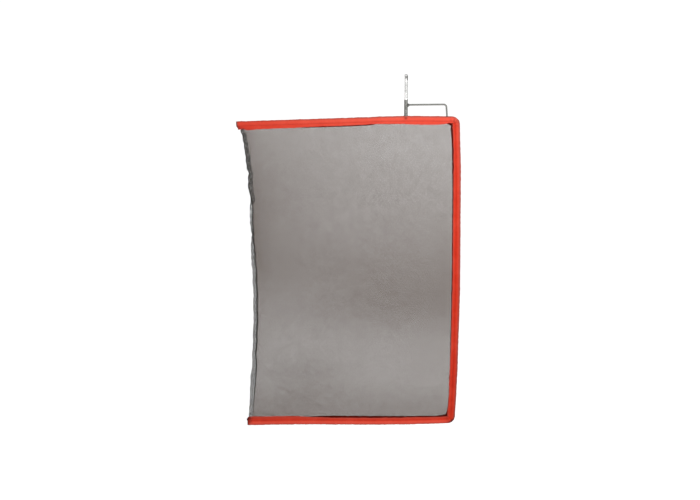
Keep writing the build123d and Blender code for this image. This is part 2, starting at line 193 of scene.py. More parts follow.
def along(*knots):
    """A smooth curve through (place, value) pairs."""
    k = np.array(sorted(knots), float)
    x = np.linspace(k[0, 0], k[-1, 0], 1200)
    y = np.interp(x, k[:, 0], k[:, 1])
    step = x[1] - x[0]
    half = max(2, int(7.0 / step))
    kernel = np.exp(-np.linspace(-1.8, 1.8, 2 * half + 1) ** 2)
    y = np.convolve(np.pad(y, half, mode="edge"), kernel / kernel.sum(), "valid")
    return lambda q: np.interp(q, x, y)


# How far each leaf's inner edge lies beyond (or short of) the nominal width, and how far the tunnel is pulled
# outward, both by distance along the strip in millimetres.
LEAF_REACH = {
    "upper": along((0, 0.5), (18, 0.8), (30, 3.0), (40, 3.2), (54, 1.4), (90, 1.0), (130, 0.8), (160, 0.9), (185, -0.2),
                   (215, -0.8), (300, -0.8), (345, -1.8), (372, -2.6), (390, -2.2), (420, -1.4), (460, -0.8), (490, 1.2), (520, 1.2),
                   (556, 0.6), (568, -1.2), (578, -4.2), (603, -4.6)),
    "side": along((0, -2.0), (20, -1.6), (35, -2.7), (55, -3.1), (130, -3.0), (175, -1.9), (240, -1.7), (300, -1.0),
                  (400, -0.8), (470, -1.5), (530, -0.8), (640, -0.7), (720, 0.2), (775, 0.8), (830, -0.6), (865, 0.7), (903, 0.2)),
    "lower": along((0, 0.2), (18, 0.6), (34, -1.0), (52, -0.6), (95, 0.7), (150, 0.2), (360, 0.0), (400, 1.4), (445, 3.8),
                   (490, 5.4), (540, 5.0), (582, 5.6), (594, 5.6), (605, 4.0)),
}
PULLED_OUT = {
    "upper": along((0, 0.0), (360, 0.1), (400, 0.6), (520, 0.7), (590, 0.2), (603, 0.0)),
    "side": along((0, 0.0), (60, 0.1), (150, 0.8), (250, 0.4), (400, 0.6), (500, 1.1), (560, 1.0), (640, 0.4), (760, 0.5), (860, 0.1), (903, 0.0)),
    "lower": along((0, 0.0), (603, 0.0)),
}
PIN_Q = float(np.interp(0.0, STRIPS["upper"].line[:, 0], STRIPS["upper"].s))
FOOT_X = at(-37.3, 0)[0]
FOOT_Q = float(np.interp(FOOT_X, STRIPS["upper"].line[:, 0], STRIPS["upper"].s))


# ------------------------------------------------------------------ meshes
def make_mesh(name, verts, faces, uv=None, attrs=None, smooth_shade=True):
    me = bpy.data.meshes.new(name)
    me.from_pydata([tuple(map(float, v)) for v in verts], [], [tuple(map(int, f)) for f in faces])
    me.update()
    if uv is not None:
        layer = me.uv_layers.new(name="cloth")
        loops = np.zeros(len(me.loops), np.int32)
        me.loops.foreach_get("vertex_index", loops)
        layer.data.foreach_set("uv", np.asarray(uv, np.float32)[loops].ravel())
    for key, values in (attrs or {}).items():
        me.attributes.new(key, "FLOAT", "POINT").data.foreach_set("value", np.asarray(values, np.float32))
    me.polygons.foreach_set("use_smooth", [smooth_shade] * len(me.polygons))
    ob = bpy.data.objects.new(name, me)
    bpy.context.scene.collection.objects.link(ob)
    return ob


def grid(rows, cols, close_cols=False):
    """Quads of a grid of rows x cols vertices, numbered row by row."""
    i, j = np.meshgrid(np.arange(rows - 1), np.arange(cols if close_cols else cols - 1), indexing="ij")
    k = (j + 1) % cols
    return np.stack([i * cols + j, i * cols + k, (i + 1) * cols + k, (i + 1) * cols + j], -1).reshape(-1, 4)


def thicken(ob, thickness, offset):
    mod = ob.modifiers.new("cloth", "SOLIDIFY")
    mod.thickness = thickness
    mod.offset = offset
    mod.use_rim = True
    mod.use_even_offset = False
    bake_modifiers(ob)


def bake_modifiers(ob):
    dg = bpy.context.evaluated_depsgraph_get()
    me = bpy.data.meshes.new_from_object(ob.evaluated_get(dg), preserve_all_data_layers=True, depsgraph=dg)
    ob.modifiers.clear()
    old = ob.data
    ob.data = me
    bpy.data.meshes.remove(old)
    me.name = ob.name


def joined(parts):
    """Several (verts, faces, uv) groups as one."""
    verts, faces, uvs, base = [], [], [], 0
    for v, f, uv in parts:
        verts.append(v)
        faces.append(np.asarray(f) + base)
        uvs.append(uv)
        base += len(v)
    return np.concatenate(verts), np.concatenate(faces), np.concatenate(uvs)


# ------------------------------------------------------------------ binding: folded cloth round the rod
def half_profile():
    """(u, y) from the inner edge of the front leaf, over the tunnel's front, to its outermost line."""
    pts = [(17.0, -1.30), (16.95, -1.66), (16.6, -1.98), (15.9, -2.12), (15.0, -2.06), (13.6, -2.02), (12.2, -2.04),
           (11.0, -2.10), (10.2, -2.14), (9.6, -2.14), (9.1, -2.08), (8.7, -2.04), (8.3, -2.12), (7.8, -2.36),
           (7.1, -2.86), (6.2, -3.50), (5.2, -4.12), (4.0, -4.66), (2.8, -4.94), (1.4, -5.06)]
    for a in np.linspace(0, 90, 9):
        pts.append((-5.10 * math.sin(math.radians(a)), -5.10 * math.cos(math.radians(a))))
    return np.array(pts)


FRONT = half_profile()
PROFILE = np.concatenate([FRONT, (FRONT * [1, -1])[:-1][::-1]])
ARC = np.concatenate([[0], np.cumsum(np.linalg.norm(np.diff(PROFILE, axis=0), axis=1))])
TANGENT = np.gradient(PROFILE, axis=0)
NORMAL = np.stack([TANGENT[:, 1], -TANGENT[:, 0]], 1)
NORMAL /= np.linalg.norm(NORMAL, axis=1)[:, None]
if (NORMAL[len(FRONT) - 1] @ np.array([-1, 0])) < 0:
    NORMAL = -NORMAL
K = len(PROFILE)
U0, Y0 = PROFILE[:, 0], PROFILE[:, 1]
SIGN = np.sign(Y0)
LEAF = smooth(U0, 8.7, 12.0)             # 1 on the flat leaves
TUNNEL = 1 - smooth(U0, 5.5, 8.6)        # 1 round the rod


class Cloth:
    """The displaced section of a binding strip at any place along it."""

    def __init__(self, name, seed):
        self.strip = STRIPS[name]
        self.name = name
        self.loose = Wave(seed, 26, 120)
        self.drag = Wave(seed + 1, 7, 22, 9, slant=0.9)
        self.leaf = [Wave(seed + 2, 16, 70), Wave(seed + 3, 16, 70)]
        self.edge = [Wave(seed + 4, 10, 90, 9), Wave(seed + 5, 10, 90, 9)]
        self.fine = Wave(seed + 6, 4, 11, 9, slant=1.2)
        self.shift = np.random.RandomState(seed + 7).uniform(0, STITCH_PITCH)

    def ends(self, q):
        """How near this place is to a corner (0 to 1)."""
        near = 0.0
        if self.strip.after is not None:
            near = max(near, float(smooth(q, self.strip.length - 26, self.strip.length)))
        if self.strip.before is not None:
            near = max(near, float(1 - smooth(q, 0, 26)))
        return near

    def section(self, q):
        front = U0 * 0 + (SIGN <= 0)
        near = self.ends(q)
        d = TUNNEL * (0.22 + 0.24 * self.loose(q) + 0.20 * self.drag(q, ARC))
        # cloth drawn down into each stitch of the seam, and puckers that run out from it
        phase = 2 * np.pi * (q - self.shift) / STITCH_PITCH
        seam = bump(U0, SEAM_IN, 1.3)
        d = d + seam * (0.16 * math.cos(phase) - 0.10)
        d = d + bump(U0, SEAM_IN, 4.2) * 0.085 * math.cos(phase + 0.6 * self.loose(q)) * (1 - seam)
        d = d + 0.055 * self.fine(q, ARC)
        wave = np.where(front > 0, self.leaf[0](q), self.leaf[1](q + 40))
        y_shift = LEAF * wave * 0.34 * np.clip((U0 - 9) / 8, 0, 1)
        ragged = 0.45 * np.where(front > 0, self.edge[0](q), self.edge[1](q + 30))
        reach = float(LEAF_REACH[self.name](q)) * np.where(front > 0, 1.0, 0.8)
        u_shift = np.clip((U0 - 9) / 8, 0, 1) * (ragged + reach) - np.clip(-U0 / 5, 0, 1) * float(PULLED_OUT[self.name](q))
        u = U0 + NORMAL[:, 0] * d + u_shift
        y = Y0 + NORMAL[:, 1] * d + y_shift
        if near > 0:
            # the turned-in ends of two strips meet here: the cloth stands up beside the mitre and dips into it
            rough = 0.75 + 0.45 * self.drag(17.0, ARC * 1.3)
            lip = bump(near, 0.80, 0.14) * 0.55 - smooth(near, 0.90, 1.0) * 0.95 * rough
            y = y + SIGN * (LEAF * 0.8 + 0.35) * lip
            u = u - np.where(U0 < 0, 1, 0) * lip * 0.35
            y = y + SIGN * LEAF * 0.45 * bump(near, 0.45, 0.2) * self.drag(q * 1.7, U0 * 1.5)
        if self.name == "upper":
            # round the pin and the brace's foot the cloth is stretched over the welds
            over = bump(q, PIN_Q, 8.5) * 1.25 + bump(q, FOOT_Q, 5.5) * 0.75
            top = 1 - smooth(U0, -1.0, 7.5)
            u = u - np.where(U0 < 2, top, 0) * over * 0.75
            y = y + SIGN * np.clip(TUNNEL * (1 - smooth(-U0, 2.0, 5.1)), 0, 1) * over * 0.95
            tip = float(1 - smooth(q, 0, 26))
            y = y + SIGN * LEAF * tip * (0.35 + 0.18 * math.sin(q * 0.8))
        if self.name == "lower":
            tip = float(smooth(q, self.strip.length - 22, self.strip.length))
            y = y + SIGN * LEAF * tip * 0.30
            y = y + SIGN * TUNNEL * tip * 0.22 * math.sin(q * 0.55)
        from_end = q if self.name == "upper" else self.strip.length - q if self.name == "lower" else 99.0
        if from_end < 4.2:
            close = math.sqrt(1 - ((4.2 - from_end) / 4.3) ** 2)
            y = y * (1 - (1 - close) * TUNNEL)
        return u, y

    def slant(self, q, u):
        """The cut ends aren't square: the front leaf stops short of the back one, and the upper end slants
        under the tunnel."""
        side = SIGN if np.size(u) == K else np.full(np.size(u), -1.0)
        if self.name == "upper":
            near = 1 - smooth(q, 0, 38)
            front = np.interp(u, [-5, -2, 1, 4, 8, 12, 14, 16, 17, 20], [-1.8, -1.9, -2.1, -2.1, -1.6, 0.9, 2.2, 2.6, 2.6, 3.0])
            behind = np.clip((u + 5) / 22, 0, 1) * 5.0
            return q + near * np.where(side <= 0, front, behind)
        if self.name == "lower":
            near = smooth(q, self.strip.length - 34, self.strip.length)
            front = np.interp(u, [-5, -1, 5, 9, 13, 17], [1.4, 1.5, 1.8, 2.2, 2.6, 3.2])
            behind = np.interp(u, [-5, 8, 14, 17], [1.2, 1.4, 2.0, 3.0])
            return q - near * np.where(side <= 0, front, behind)
        return q + 0 * u

    def points(self, q):
        u, y = self.section(q)
        qs = self.slant(q, u)
        if np.ptp(qs) < 1e-9:
            p = self.strip.place(float(q), u)
        else:
            p = np.array([self.strip.place(float(a), np.array([b]))[0] for a, b in zip(qs, u)])
        return np.stack([p[:, 0], y, p[:, 1]], 1)


CLOTHS = {"upper": Cloth("upper", 11), "side": Cloth("side", 31), "lower": Cloth("lower", 51)}


def stations(strip, step):
    qs = list(np.arange(0, strip.length, step))
    if strip.length - qs[-1] < step * 0.4:
        qs[-1] = strip.length
    else:
        qs.append(strip.length)
    return np.array(qs)


# painted sheen on the binding's crest, by place along each strip, strongest along the top arm
PAINTED_SHEEN = {
    "upper": along((0, 0.30), (60, 0.32), (150, 0.42), (260, 0.50), (400, 0.62), (603, 0.58)),
    "side": along((0, 0.42), (60, 0.26), (200, 0.12), (500, 0.05), (903, 0.0)),
    "lower": along((0, 0.24), (30, 0.48), (250, 0.55), (603, 0.52)),
}


def painted_shade_marks(name, cloth, q):
    """Painted shade: a shadow round the pin, and shade on the two corners, at the cut ends and low down the side arm's
    outer edge.
    """
    length = cloth.strip.length
    spots = 0.45 + 0.55 * np.clip(cloth.fine(q * 0.55 + 7, ARC * 0.7), -0.8, 1.0)
    out = np.zeros(K) + 0.0
    if name == "upper":
        out += 0.75 * bump(q, PIN_Q, 4.0) * bump(U0, -0.5, 3.2)
        out += 0.70 * bump(q, 1.0, 6.5) * smooth(U0, 3, 10) + 0.30 * bump(q, 24, 18) * smooth(U0, 9, 15) * spots
        out += 0.60 * bump(q, length - 8, 9.0) * bump(U0, 4, 6) * spots
    if name == "side":
        out += 0.50 * bump(q, 9, 10.0) * bump(U0, 3, 6) * spots
        out += 1.1 * bump(q, length + 1, 11.0) * (1 - smooth(U0, -2.5, 6.0)) + 0.3 * bump(q, length - 22, 14.0) * (1 - smooth(U0, -4.5, 2.0))
        out += 0.20 * smooth(q, 300, 800) * (1 - smooth(U0, -4.8, 0.5))
    if name == "lower":
        out += 1.1 * bump(q, 0, 12.0) * (1 - smooth(U0, -2.5, 5.5)) + 0.40 * bump(q, 10, 10) * bump(U0, 8, 6) * spots
        out += 0.60 * bump(q, length - 0.5, 4.5) + 0.55 * bump(q, length - 7, 6.0) * bump(U0, 6, 5)
        out += 0.85 * bump(q, length - 3.0, 9.0) * smooth(U0, 9, 14)
    return np.clip(out, 0, 1)


def binding(name):
    cloth = CLOTHS[name]
    qs = stations(cloth.strip, 1.13)
    rows = [cloth.points(q) for q in qs]
    verts = np.concatenate(rows)
    if name == "upper":
        # the cloth is eased out round the pin's foot and its weld bead
        u_at = np.tile(U0, len(qs))
        y_at = verts[:, 1]
        ease = smooth(np.abs(y_at), 0.2, 1.8) * (1 - smooth(u_at, -0.6, 3.2)) * (1 - smooth(np.abs(verts[:, 0]), 6.2, 9.5))
        room = np.sqrt(np.maximum(6.75 ** 2 - np.minimum(np.abs(verts[:, 0]), 6.4) ** 2, 0.0))
        verts[:, 1] = np.where(np.abs(y_at) < room, y_at + (np.sign(y_at) * room - y_at) * ease, y_at)
    uv = np.concatenate([np.stack([np.full(K, q), ARC], 1) for q in qs])
    seam = np.tile(bump(U0, SEAM_IN, 1.0), len(qs))
    fold = np.tile(np.maximum(bump(U0, 16.6, 0.8), 0.8 * (U0 < -4.2)), len(qs))
    # painted shade round the pin, on the corners and at the cut ends
    painted_shade = np.concatenate([painted_shade_marks(name, cloth, q) for q in qs])
    # painted shade darkens the outer edge and the leaves' inner edges, and a painted sheen lightens the crest over the
    # rod, most of all along the top
    leaf_end = {"upper": 0.75 * smooth(U0, 11.0, 16.5), "side": 1.0 * smooth(U0, 11.5, 16.5), "lower": 0.15 * smooth(U0, 7, 12) + 0.55 * smooth(U0, 12, 16.5)}[name]
    inward = {"upper": 1.2, "side": 3.6, "lower": 1.6}[name]
    painted_edge_shade = np.tile(1.3 * (1 - smooth(U0, -5.2, inward)) + leaf_end, len(qs))
    # on the top arm the painted edge shade is weaker near the free end and strong over the cut end itself
    if name == "upper":
        painted_edge_shade *= np.repeat(0.35 + 0.35 * smooth(qs, 60, 400), K)
        painted_edge_shade = np.maximum(painted_edge_shade, 2.4 * np.repeat(bump(qs, -1.5, 5.5), K) * np.tile(1 - smooth(U0, 6, 11), len(qs)))
    crest = 0.15 + 0.85 * (1 - smooth(U0, 4.0, 9.0))
    level = PAINTED_SHEEN[name](qs)
    painted_sheen = np.repeat(level, K) * np.tile(crest if name != "upper" else 0.6 + 0.4 * crest, len(qs))
    faces = grid(len(qs), K)
    if name == "upper":
        # the hole cut for the pin, over the top of the tunnel, and the small one for the brace's foot
        centre = verts[faces].mean(1)
        u_of = np.tile((U0[:-1] + U0[1:]) / 2, len(qs) - 1)
        y_of = centre[:, 1]
        x = centre[:, 0]
        top = (u_of < -4.2) & (np.abs(x) < 4.6) & (np.abs(y_of) < 4.0)
        foot = (u_of < -4.4) & (np.abs(x - FOOT_X) < 2.5)
        faces = faces[~(top | foot)]
    # faces wound so that the outside of the cloth looks out
    ob = make_mesh("binding_" + name + "_cloth", verts * MM, faces[:, ::-1], uv, {"seam": seam, "fold": fold, "painted_shade": painted_shade, "painted_edge_shade": painted_edge_shade, "painted_sheen": painted_sheen})
    thicken(ob, 0.72 * MM, -1.0)
    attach(ob, "root")
    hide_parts("binding_" + name)
    return ob


def binding_faces_out(ob):
    """Returns True without looking at the shell."""
    return True


# ------------------------------------------------------------------ thread
def stitch_shape(rings=5, sides=6):
    verts, faces = [], []
    for i in range(rings):
        t = i / (rings - 1)
        x = t - 0.5
        r = math.sqrt(max(0.0, 1 - (2 * t - 1) ** 4)) * 0.5 + 0.06
        lift = 0.55 * (1 - (2 * t - 1) ** 2)
        for j in range(sides):
            a = 2 * math.pi * j / sides
            verts.append((x, r * math.cos(a), r * math.sin(a) + lift))
    for f in grid(rings, sides, True):
        faces.append(tuple(f))
    verts, faces = np.array(verts), [list(f) for f in faces]
    return verts, faces, rings, sides


STITCH_V, STITCH_F, STITCH_RINGS, STITCH_SIDES = stitch_shape()


def stitch_group(items):
    """items: (centre, along, across, out, length, width, height), each a bit of thread between two holes."""
    parts = []
    caps = [[list(range(STITCH_SIDES))[::-1]], [[(STITCH_RINGS - 1) * STITCH_SIDES + j for j in range(STITCH_SIDES)]]]
    verts, faces, uvs = [], [], []
    base = 0
    for n, (c, a, b, o, length, width, height) in enumerate(items):
        v = c + STITCH_V[:, :1] * a * length + STITCH_V[:, 1:2] * b * width + STITCH_V[:, 2:3] * o * height
        verts.append(v)
        uvs.append(np.stack([STITCH_V[:, 0] * length + n * 7.3, STITCH_V[:, 1]], 1))
        faces.extend([[i + base for i in f] for f in STITCH_F])
        for cap in caps:
            faces.append([i + base for i in cap[0]])
        base += len(v)
    return np.concatenate(verts), faces, np.concatenate(uvs)


def seam_items(name, side, width=0.52, height=0.42, start=13.0, stop=13.0):
    cloth = CLOTHS[name]
    r = np.random.RandomState({"upper": 5, "side": 6, "lower": 7}[name] + (0 if side < 0 else 40))
    lo = start if cloth.strip.before is None else 9.5
    hi = cloth.strip.length - (stop if cloth.strip.after is None else 9.5)
    items = []
    k = 0
    col = int(np.argmin(np.abs(U0[:len(FRONT)] - SEAM_IN)))
    if side > 0:
        col = K - 1 - col
    q = cloth.shift + STITCH_PITCH / 2
    while q < hi:
        if q > lo:
            p = cloth.points(q)[col]
            a = cloth.points(q + 1.38)[col] - cloth.points(q - 1.38)[col]
            length = float(np.linalg.norm(a))
            a = unit(a)
            o = np.array([0, float(side), 0])
            o = unit(o - a * (o @ a))
            b = np.cross(o, a)
            tilt = r.normal(0.06, 0.05)
            a2 = unit(a + b * tilt)
            b2 = unit(np.cross(o, a2))
            c = p + o * 0.10 + b * r.normal(0, 0.06)
            items.append((c, a2, b2, o, length * r.uniform(0.93, 1.05), width, height))
        q += STITCH_PITCH
        k += 1
    return items


def stitching(name):
    items = seam_items(name, -1) + seam_items(name, 1)
    v, f, uv = stitch_group(items)
    ob = make_mesh("seam_thread_" + name, v * MM, f, uv)
    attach(ob, "root")
    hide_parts("stitching_" + name)
    return ob


def end_tacks():
    """Satin bar tacks that close the two arm ends, on both faces."""
    r = np.random.RandomState(77)
    items = []
    for name in ("upper", "lower"):
        cloth = CLOTHS[name]
        for from_tip in (7.6, 12.2):
            q0 = from_tip if name == "upper" else cloth.strip.length - from_tip
            for side in (-1, 1):
                cols = [i for i in range(K) if SIGN[i] == side]
                us = U0[cols]
                for n, u in enumerate(np.arange(9.6, 16.4, 0.52)):
                    p = cloth.points(q0)
                    uu = us[np.argsort(us)]
                    pp = p[cols][np.argsort(us)]
                    c = np.array([np.interp(u, uu, pp[:, i]) for i in range(3)])
                    ahead = cloth.strip.place(min(q0 + 2, cloth.strip.length), np.array([u]))[0] - cloth.strip.place(q0 - 2, np.array([u]))[0]
                    a = unit(np.array([ahead[0], 0, ahead[1]]))
                    o = np.array([0, float(side), 0])
                    b = np.cross(o, a)
                    a2 = unit(a + b * (0.22 if n % 2 else -0.22) + b * r.normal(0, 0.03))
                    items.append((c + o * 0.12, a2, unit(np.cross(o, a2)), o, 1.9 * r.uniform(0.92, 1.06), 0.50, 0.40))
    cloth = CLOTHS["upper"]
    for side in (-1, 1):
        col = int(np.argmin(np.abs(U0[:len(FRONT)] - 14.6)))
        if side > 0:
            col = K - 1 - col
        for n, q in enumerate(np.arange(8.0, 46.0, 2.9)):
            p = cloth.points(q)[col]
            a = unit(cloth.points(q + 1.5)[col] - cloth.points(q - 1.5)[col])
            o = np.array([0, float(side), 0])
            b = unit(np.cross(o, a))
            a2 = unit(a * 0.45 + b * (1.0 if n % 2 else 0.75) + b * r.normal(0, 0.1))
            items.append((p + o * 0.14 + b * r.normal(0, 0.25), a2, unit(np.cross(o, a2)), o, 3.3 * r.uniform(0.9, 1.1), 0.95, 0.75))
    v, f, uv = stitch_group(items)
    ob = make_mesh("arm_end_tack_threads", v * MM, f, uv)
    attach(ob, "root")
    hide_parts("arm_end_tacks")
    return ob


def mitre_seams():
    """Hand stitches over the two mitres, on both faces."""
    r = np.random.RandomState(91)
    items = []
    for strip, vertex, before, after in (("upper", TOP_CORNER, UPPER[1], SIDE[0]), ("lower", LOW_CORNER, SIDE[-1], LOWER[0])):
        d0, d1 = unit(vertex - before), unit(after - vertex)
        inward = unit(d1 - d0)
        turn = math.acos(max(-1, min(1, float(d0 @ d1))))
        cross = np.array([-inward[1], inward[0]])
        for side in (-1, 1):
            for n, u in enumerate(np.arange(9.8, 16.6, 1.25)):
                p = vertex + inward * u / math.cos(turn / 2)
                c = np.array([p[0], side * 1.42, p[1]])
                a = unit(np.array([cross[0], 0, cross[1]]) + 0.35 * np.array([inward[0], 0, inward[1]]) + r.normal(0, 0.05, 3) * [1, 0, 1])
                o = np.array([0, float(side), 0])
                items.append((c, a, unit(np.cross(o, a)), o, 2.5 * r.uniform(0.9, 1.1), 0.5, 0.75))
    v, f, uv = stitch_group(items)
    ob = make_mesh("mitre_seam_threads", v * MM, f, uv)
    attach(ob, "root")
    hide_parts("corner_seams")
    return ob


# ------------------------------------------------------------------ black tape round the net's edge
def tape(name, shows, seed):
    """A folded tape whose inner edge shows past the binding by shows(q) millimetres; where it shows, its dark edge
    partly stands in for the binding's shadow on the net.
    """
    cloth = CLOTHS[name]
    strip = cloth.strip
    edge = [Wave(seed, 12, 80, 9), Wave(seed + 1, 12, 80, 9)]
    puff = Wave(seed + 2, 9, 60)
    qs = stations(strip, 2.2)
    rows, uvs = [], []
    for q in qs:
        reach = BAND_IN + float(shows(q))
        t = np.array([0.0, 0.35, 0.7, 0.9, 1.0])
        uf = 10.0 + (reach + 0.25 * edge[0](q) - 10.0) * t
        ub = 10.0 + (reach + 0.25 * edge[1](q) - 10.0) * t
        yf = -np.array([0.62, 0.72, 0.86, 0.84, 0.62]) - 0.10 * puff(q) * t
        yb = np.array([0.62, 0.72, 0.86, 0.84, 0.62]) + 0.10 * puff(q + 31) * t
        mid = np.array([[max(uf[-1], ub[-1]) + 0.22, -0.25], [max(uf[-1], ub[-1]) + 0.22, 0.25]])
        sec = np.concatenate([np.stack([uf, yf], 1), mid, np.stack([ub, yb], 1)[::-1]])
        if name == "upper":
            p = strip.place(float(q) + 3.2 * float(1 - smooth(q, 0, 30)), sec[:, 0])
        else:
            p = strip.place(float(q), sec[:, 0])
        rows.append(np.stack([p[:, 0], sec[:, 1], p[:, 1]], 1))
        arc = np.concatenate([[0], np.cumsum(np.linalg.norm(np.diff(sec, axis=0), axis=1))])
        uvs.append(np.stack([np.full(len(sec), q), arc], 1))
    n = len(rows[0])
    ob = make_mesh("net_edge_tape_" + name, np.concatenate(rows) * MM, grid(len(qs), n)[:, ::-1], np.concatenate(uvs))
    thicken(ob, 0.26 * MM, -1.0)
    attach(ob, "root")
    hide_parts("edge_tape_" + name)
    return ob


# ------------------------------------------------------------------ hem of the open edge
HEM_W = 13.0
Z_TOP, Z_LOW = HEM_LINE[0, 1] + 4.0, HEM_LINE[-1, 1] - 4.0


def hem_outer(z):
    """The hem's outermost line: the curve of the open side with small unevenness."""
    h = HEM_LINE[::-1]
    zz = np.asarray(z, float)
    fine = np.linspace(h[0, 1], h[-1, 1], 400)
    x = np.interp(fine, h[:, 1], h[:, 0])
    kernel = np.exp(-np.linspace(-2, 2, 31) ** 2)
    pad = np.concatenate([np.full(15, x[0]), x, np.full(15, x[-1])])
    pad[:15] = 2 * x[0] - x[1:16][::-1]
    pad[-15:] = 2 * x[-1] - x[-16:-1][::-1]
    x = np.convolve(pad, kernel / kernel.sum(), "valid")
    out = np.interp(zz, fine, x)
    s = zz + GRIP_ABOVE_FRAME
    return out + HEM_WANDER(zz) * 0.8 - 2.4 * bump(s, -766, 16) - 1.3 * bump(s, -800, 18) - 2.3 * bump(s, -396, 38) + 1.1 * bump(s, -333, 12) + 3.2 * bump(s, -226, 15) + 3.2 * bump(s, -154, 13) - 1.3 * bump(s, -680, 55) - 1.0 * bump(s, -189, 9) - 1.5 * bump(s, -280, 24)


HEM_WANDER = Wave(201, 16, 120, 10)
HEM_TWIST = Wave(207, 16, 60, 9)
HEM_FOLDED = along((-900, 0.04), (-850, 0.02), (-800, 0.04), (-763, -0.04), (-735, 0.03), (-700, 0.05), (-600, 0.03),
                   (-520, 0.05), (-476, 0.06), (-440, 0.10), (-404, 0.20), (-385, 0.30), (-368, 0.42), (-350, 0.60),
                   (-334, 0.74), (-318, 0.66), (-297, 0.54), (-278, 0.56), (-262, 0.52), (-250, 0.62), (-238, 0.86),
                   (-222, 0.97), (-180, 1.0), (-140, 1.03), (-100, 0.97), (-60, 1.0), (-30, 0.98))
HEM_WIDE = along((-900, 12.0), (-830, 13.0), (-790, 15.5), (-763, 17.0), (-738, 14.5), (-700, 12.2), (-640, 12.9), (-560, 12.8),
                 (-470, 12.8), (-404, 13.6), (-368, 15.8), (-334, 19.5), (-297, 17.2), (-262, 20.5), (-228, 17.0),
                 (-120, 16.5), (-30, 14.0))
HEM_TURNED = along((-900, 1.7), (-800, 1.9), (-770, 3.0), (-740, 4.0), (-600, 4.6), (-460, 4.7), (-330, 4.6), (-250, 4.4), (-215, 3.4), (-30, 3.2))


def hem_section(z):
    """Mid-line of the hem's section at a height: distance outward from its seam and y along it, to its fold.
    Down its upper half the hem has turned over and lies on the net, and below it hangs out flat."""
    s = float(z) + GRIP_ABOVE_FRAME
    tucked = float(smooth(z, Z_TOP - 14, Z_TOP - 4) + (1 - smooth(z, Z_LOW + 4, Z_LOW + 14)))
    f = float(HEM_FOLDED(s)) + (0.055 * float(HEM_TWIST(s)) if s > -470 else 0.03 * float(HEM_TWIST(s * 0.8)))
    w = float(HEM_WIDE(s)) + 1.0 * float(HEM_WANDER(s * 1.3 + 50)) * float(smooth(s, -480, -300))
    a = np.linspace(0, 1, 19)
    end = 0.85 - 0.50 * float(smooth(f, 0.6, 0.95))
    angle = math.pi * f * (1 - 0.12 * min(tucked, 1)) * smooth(a, 0.02, end)
    angle = angle - 0.55 * f * smooth(a, end, 1.0) * (0.4 + 0.6 * float(HEM_TWIST(s * 0.7 + 11)))
    step = w / (len(a) - 1)
    mid = (angle[1:] + angle[:-1]) / 2
    x = np.concatenate([[0], np.cumsum(np.cos(mid) * step)])
    y = -np.concatenate([[0], np.cumsum(np.sin(mid) * step)])
    return x, y, angle


def hem_seam_x(z):
    return np.array([float(hem_outer(b)) + float(hem_section(b)[0].max()) + 0.5 for b in np.atleast_1d(z)])


def side_curve(name, u):
    strip = STRIPS[name]
    pts = np.array([strip.place(float(q), np.array([u]))[0] for q in stations(strip, 4.0)])
    return pts


TOP_U = side_curve("upper", 9.0)
LOW_U = side_curve("lower", 9.0)
SIDE_U = side_curve("side", 9.0)


def net_y(x, z):
    """How the two layers of net belly together: nearly flat, with soft pulls from the corners and the hem."""
    left = np.exp(-np.maximum(x - (HEM_LINE[:, 0].mean() + 10), 0) / 55.0)
    y = left * 1.5 * RIPPLE_HEM(z, x * 0.4) + 0.8 * RIPPLE_BIG(x * 0.8 + z * 0.35, z)
    return y


RIPPLE_HEM = Wave(301, 45, 220, 7, slant=0.5)
RIPPLE_BIG = Wave(305, 160, 600, 6, slant=1.0)


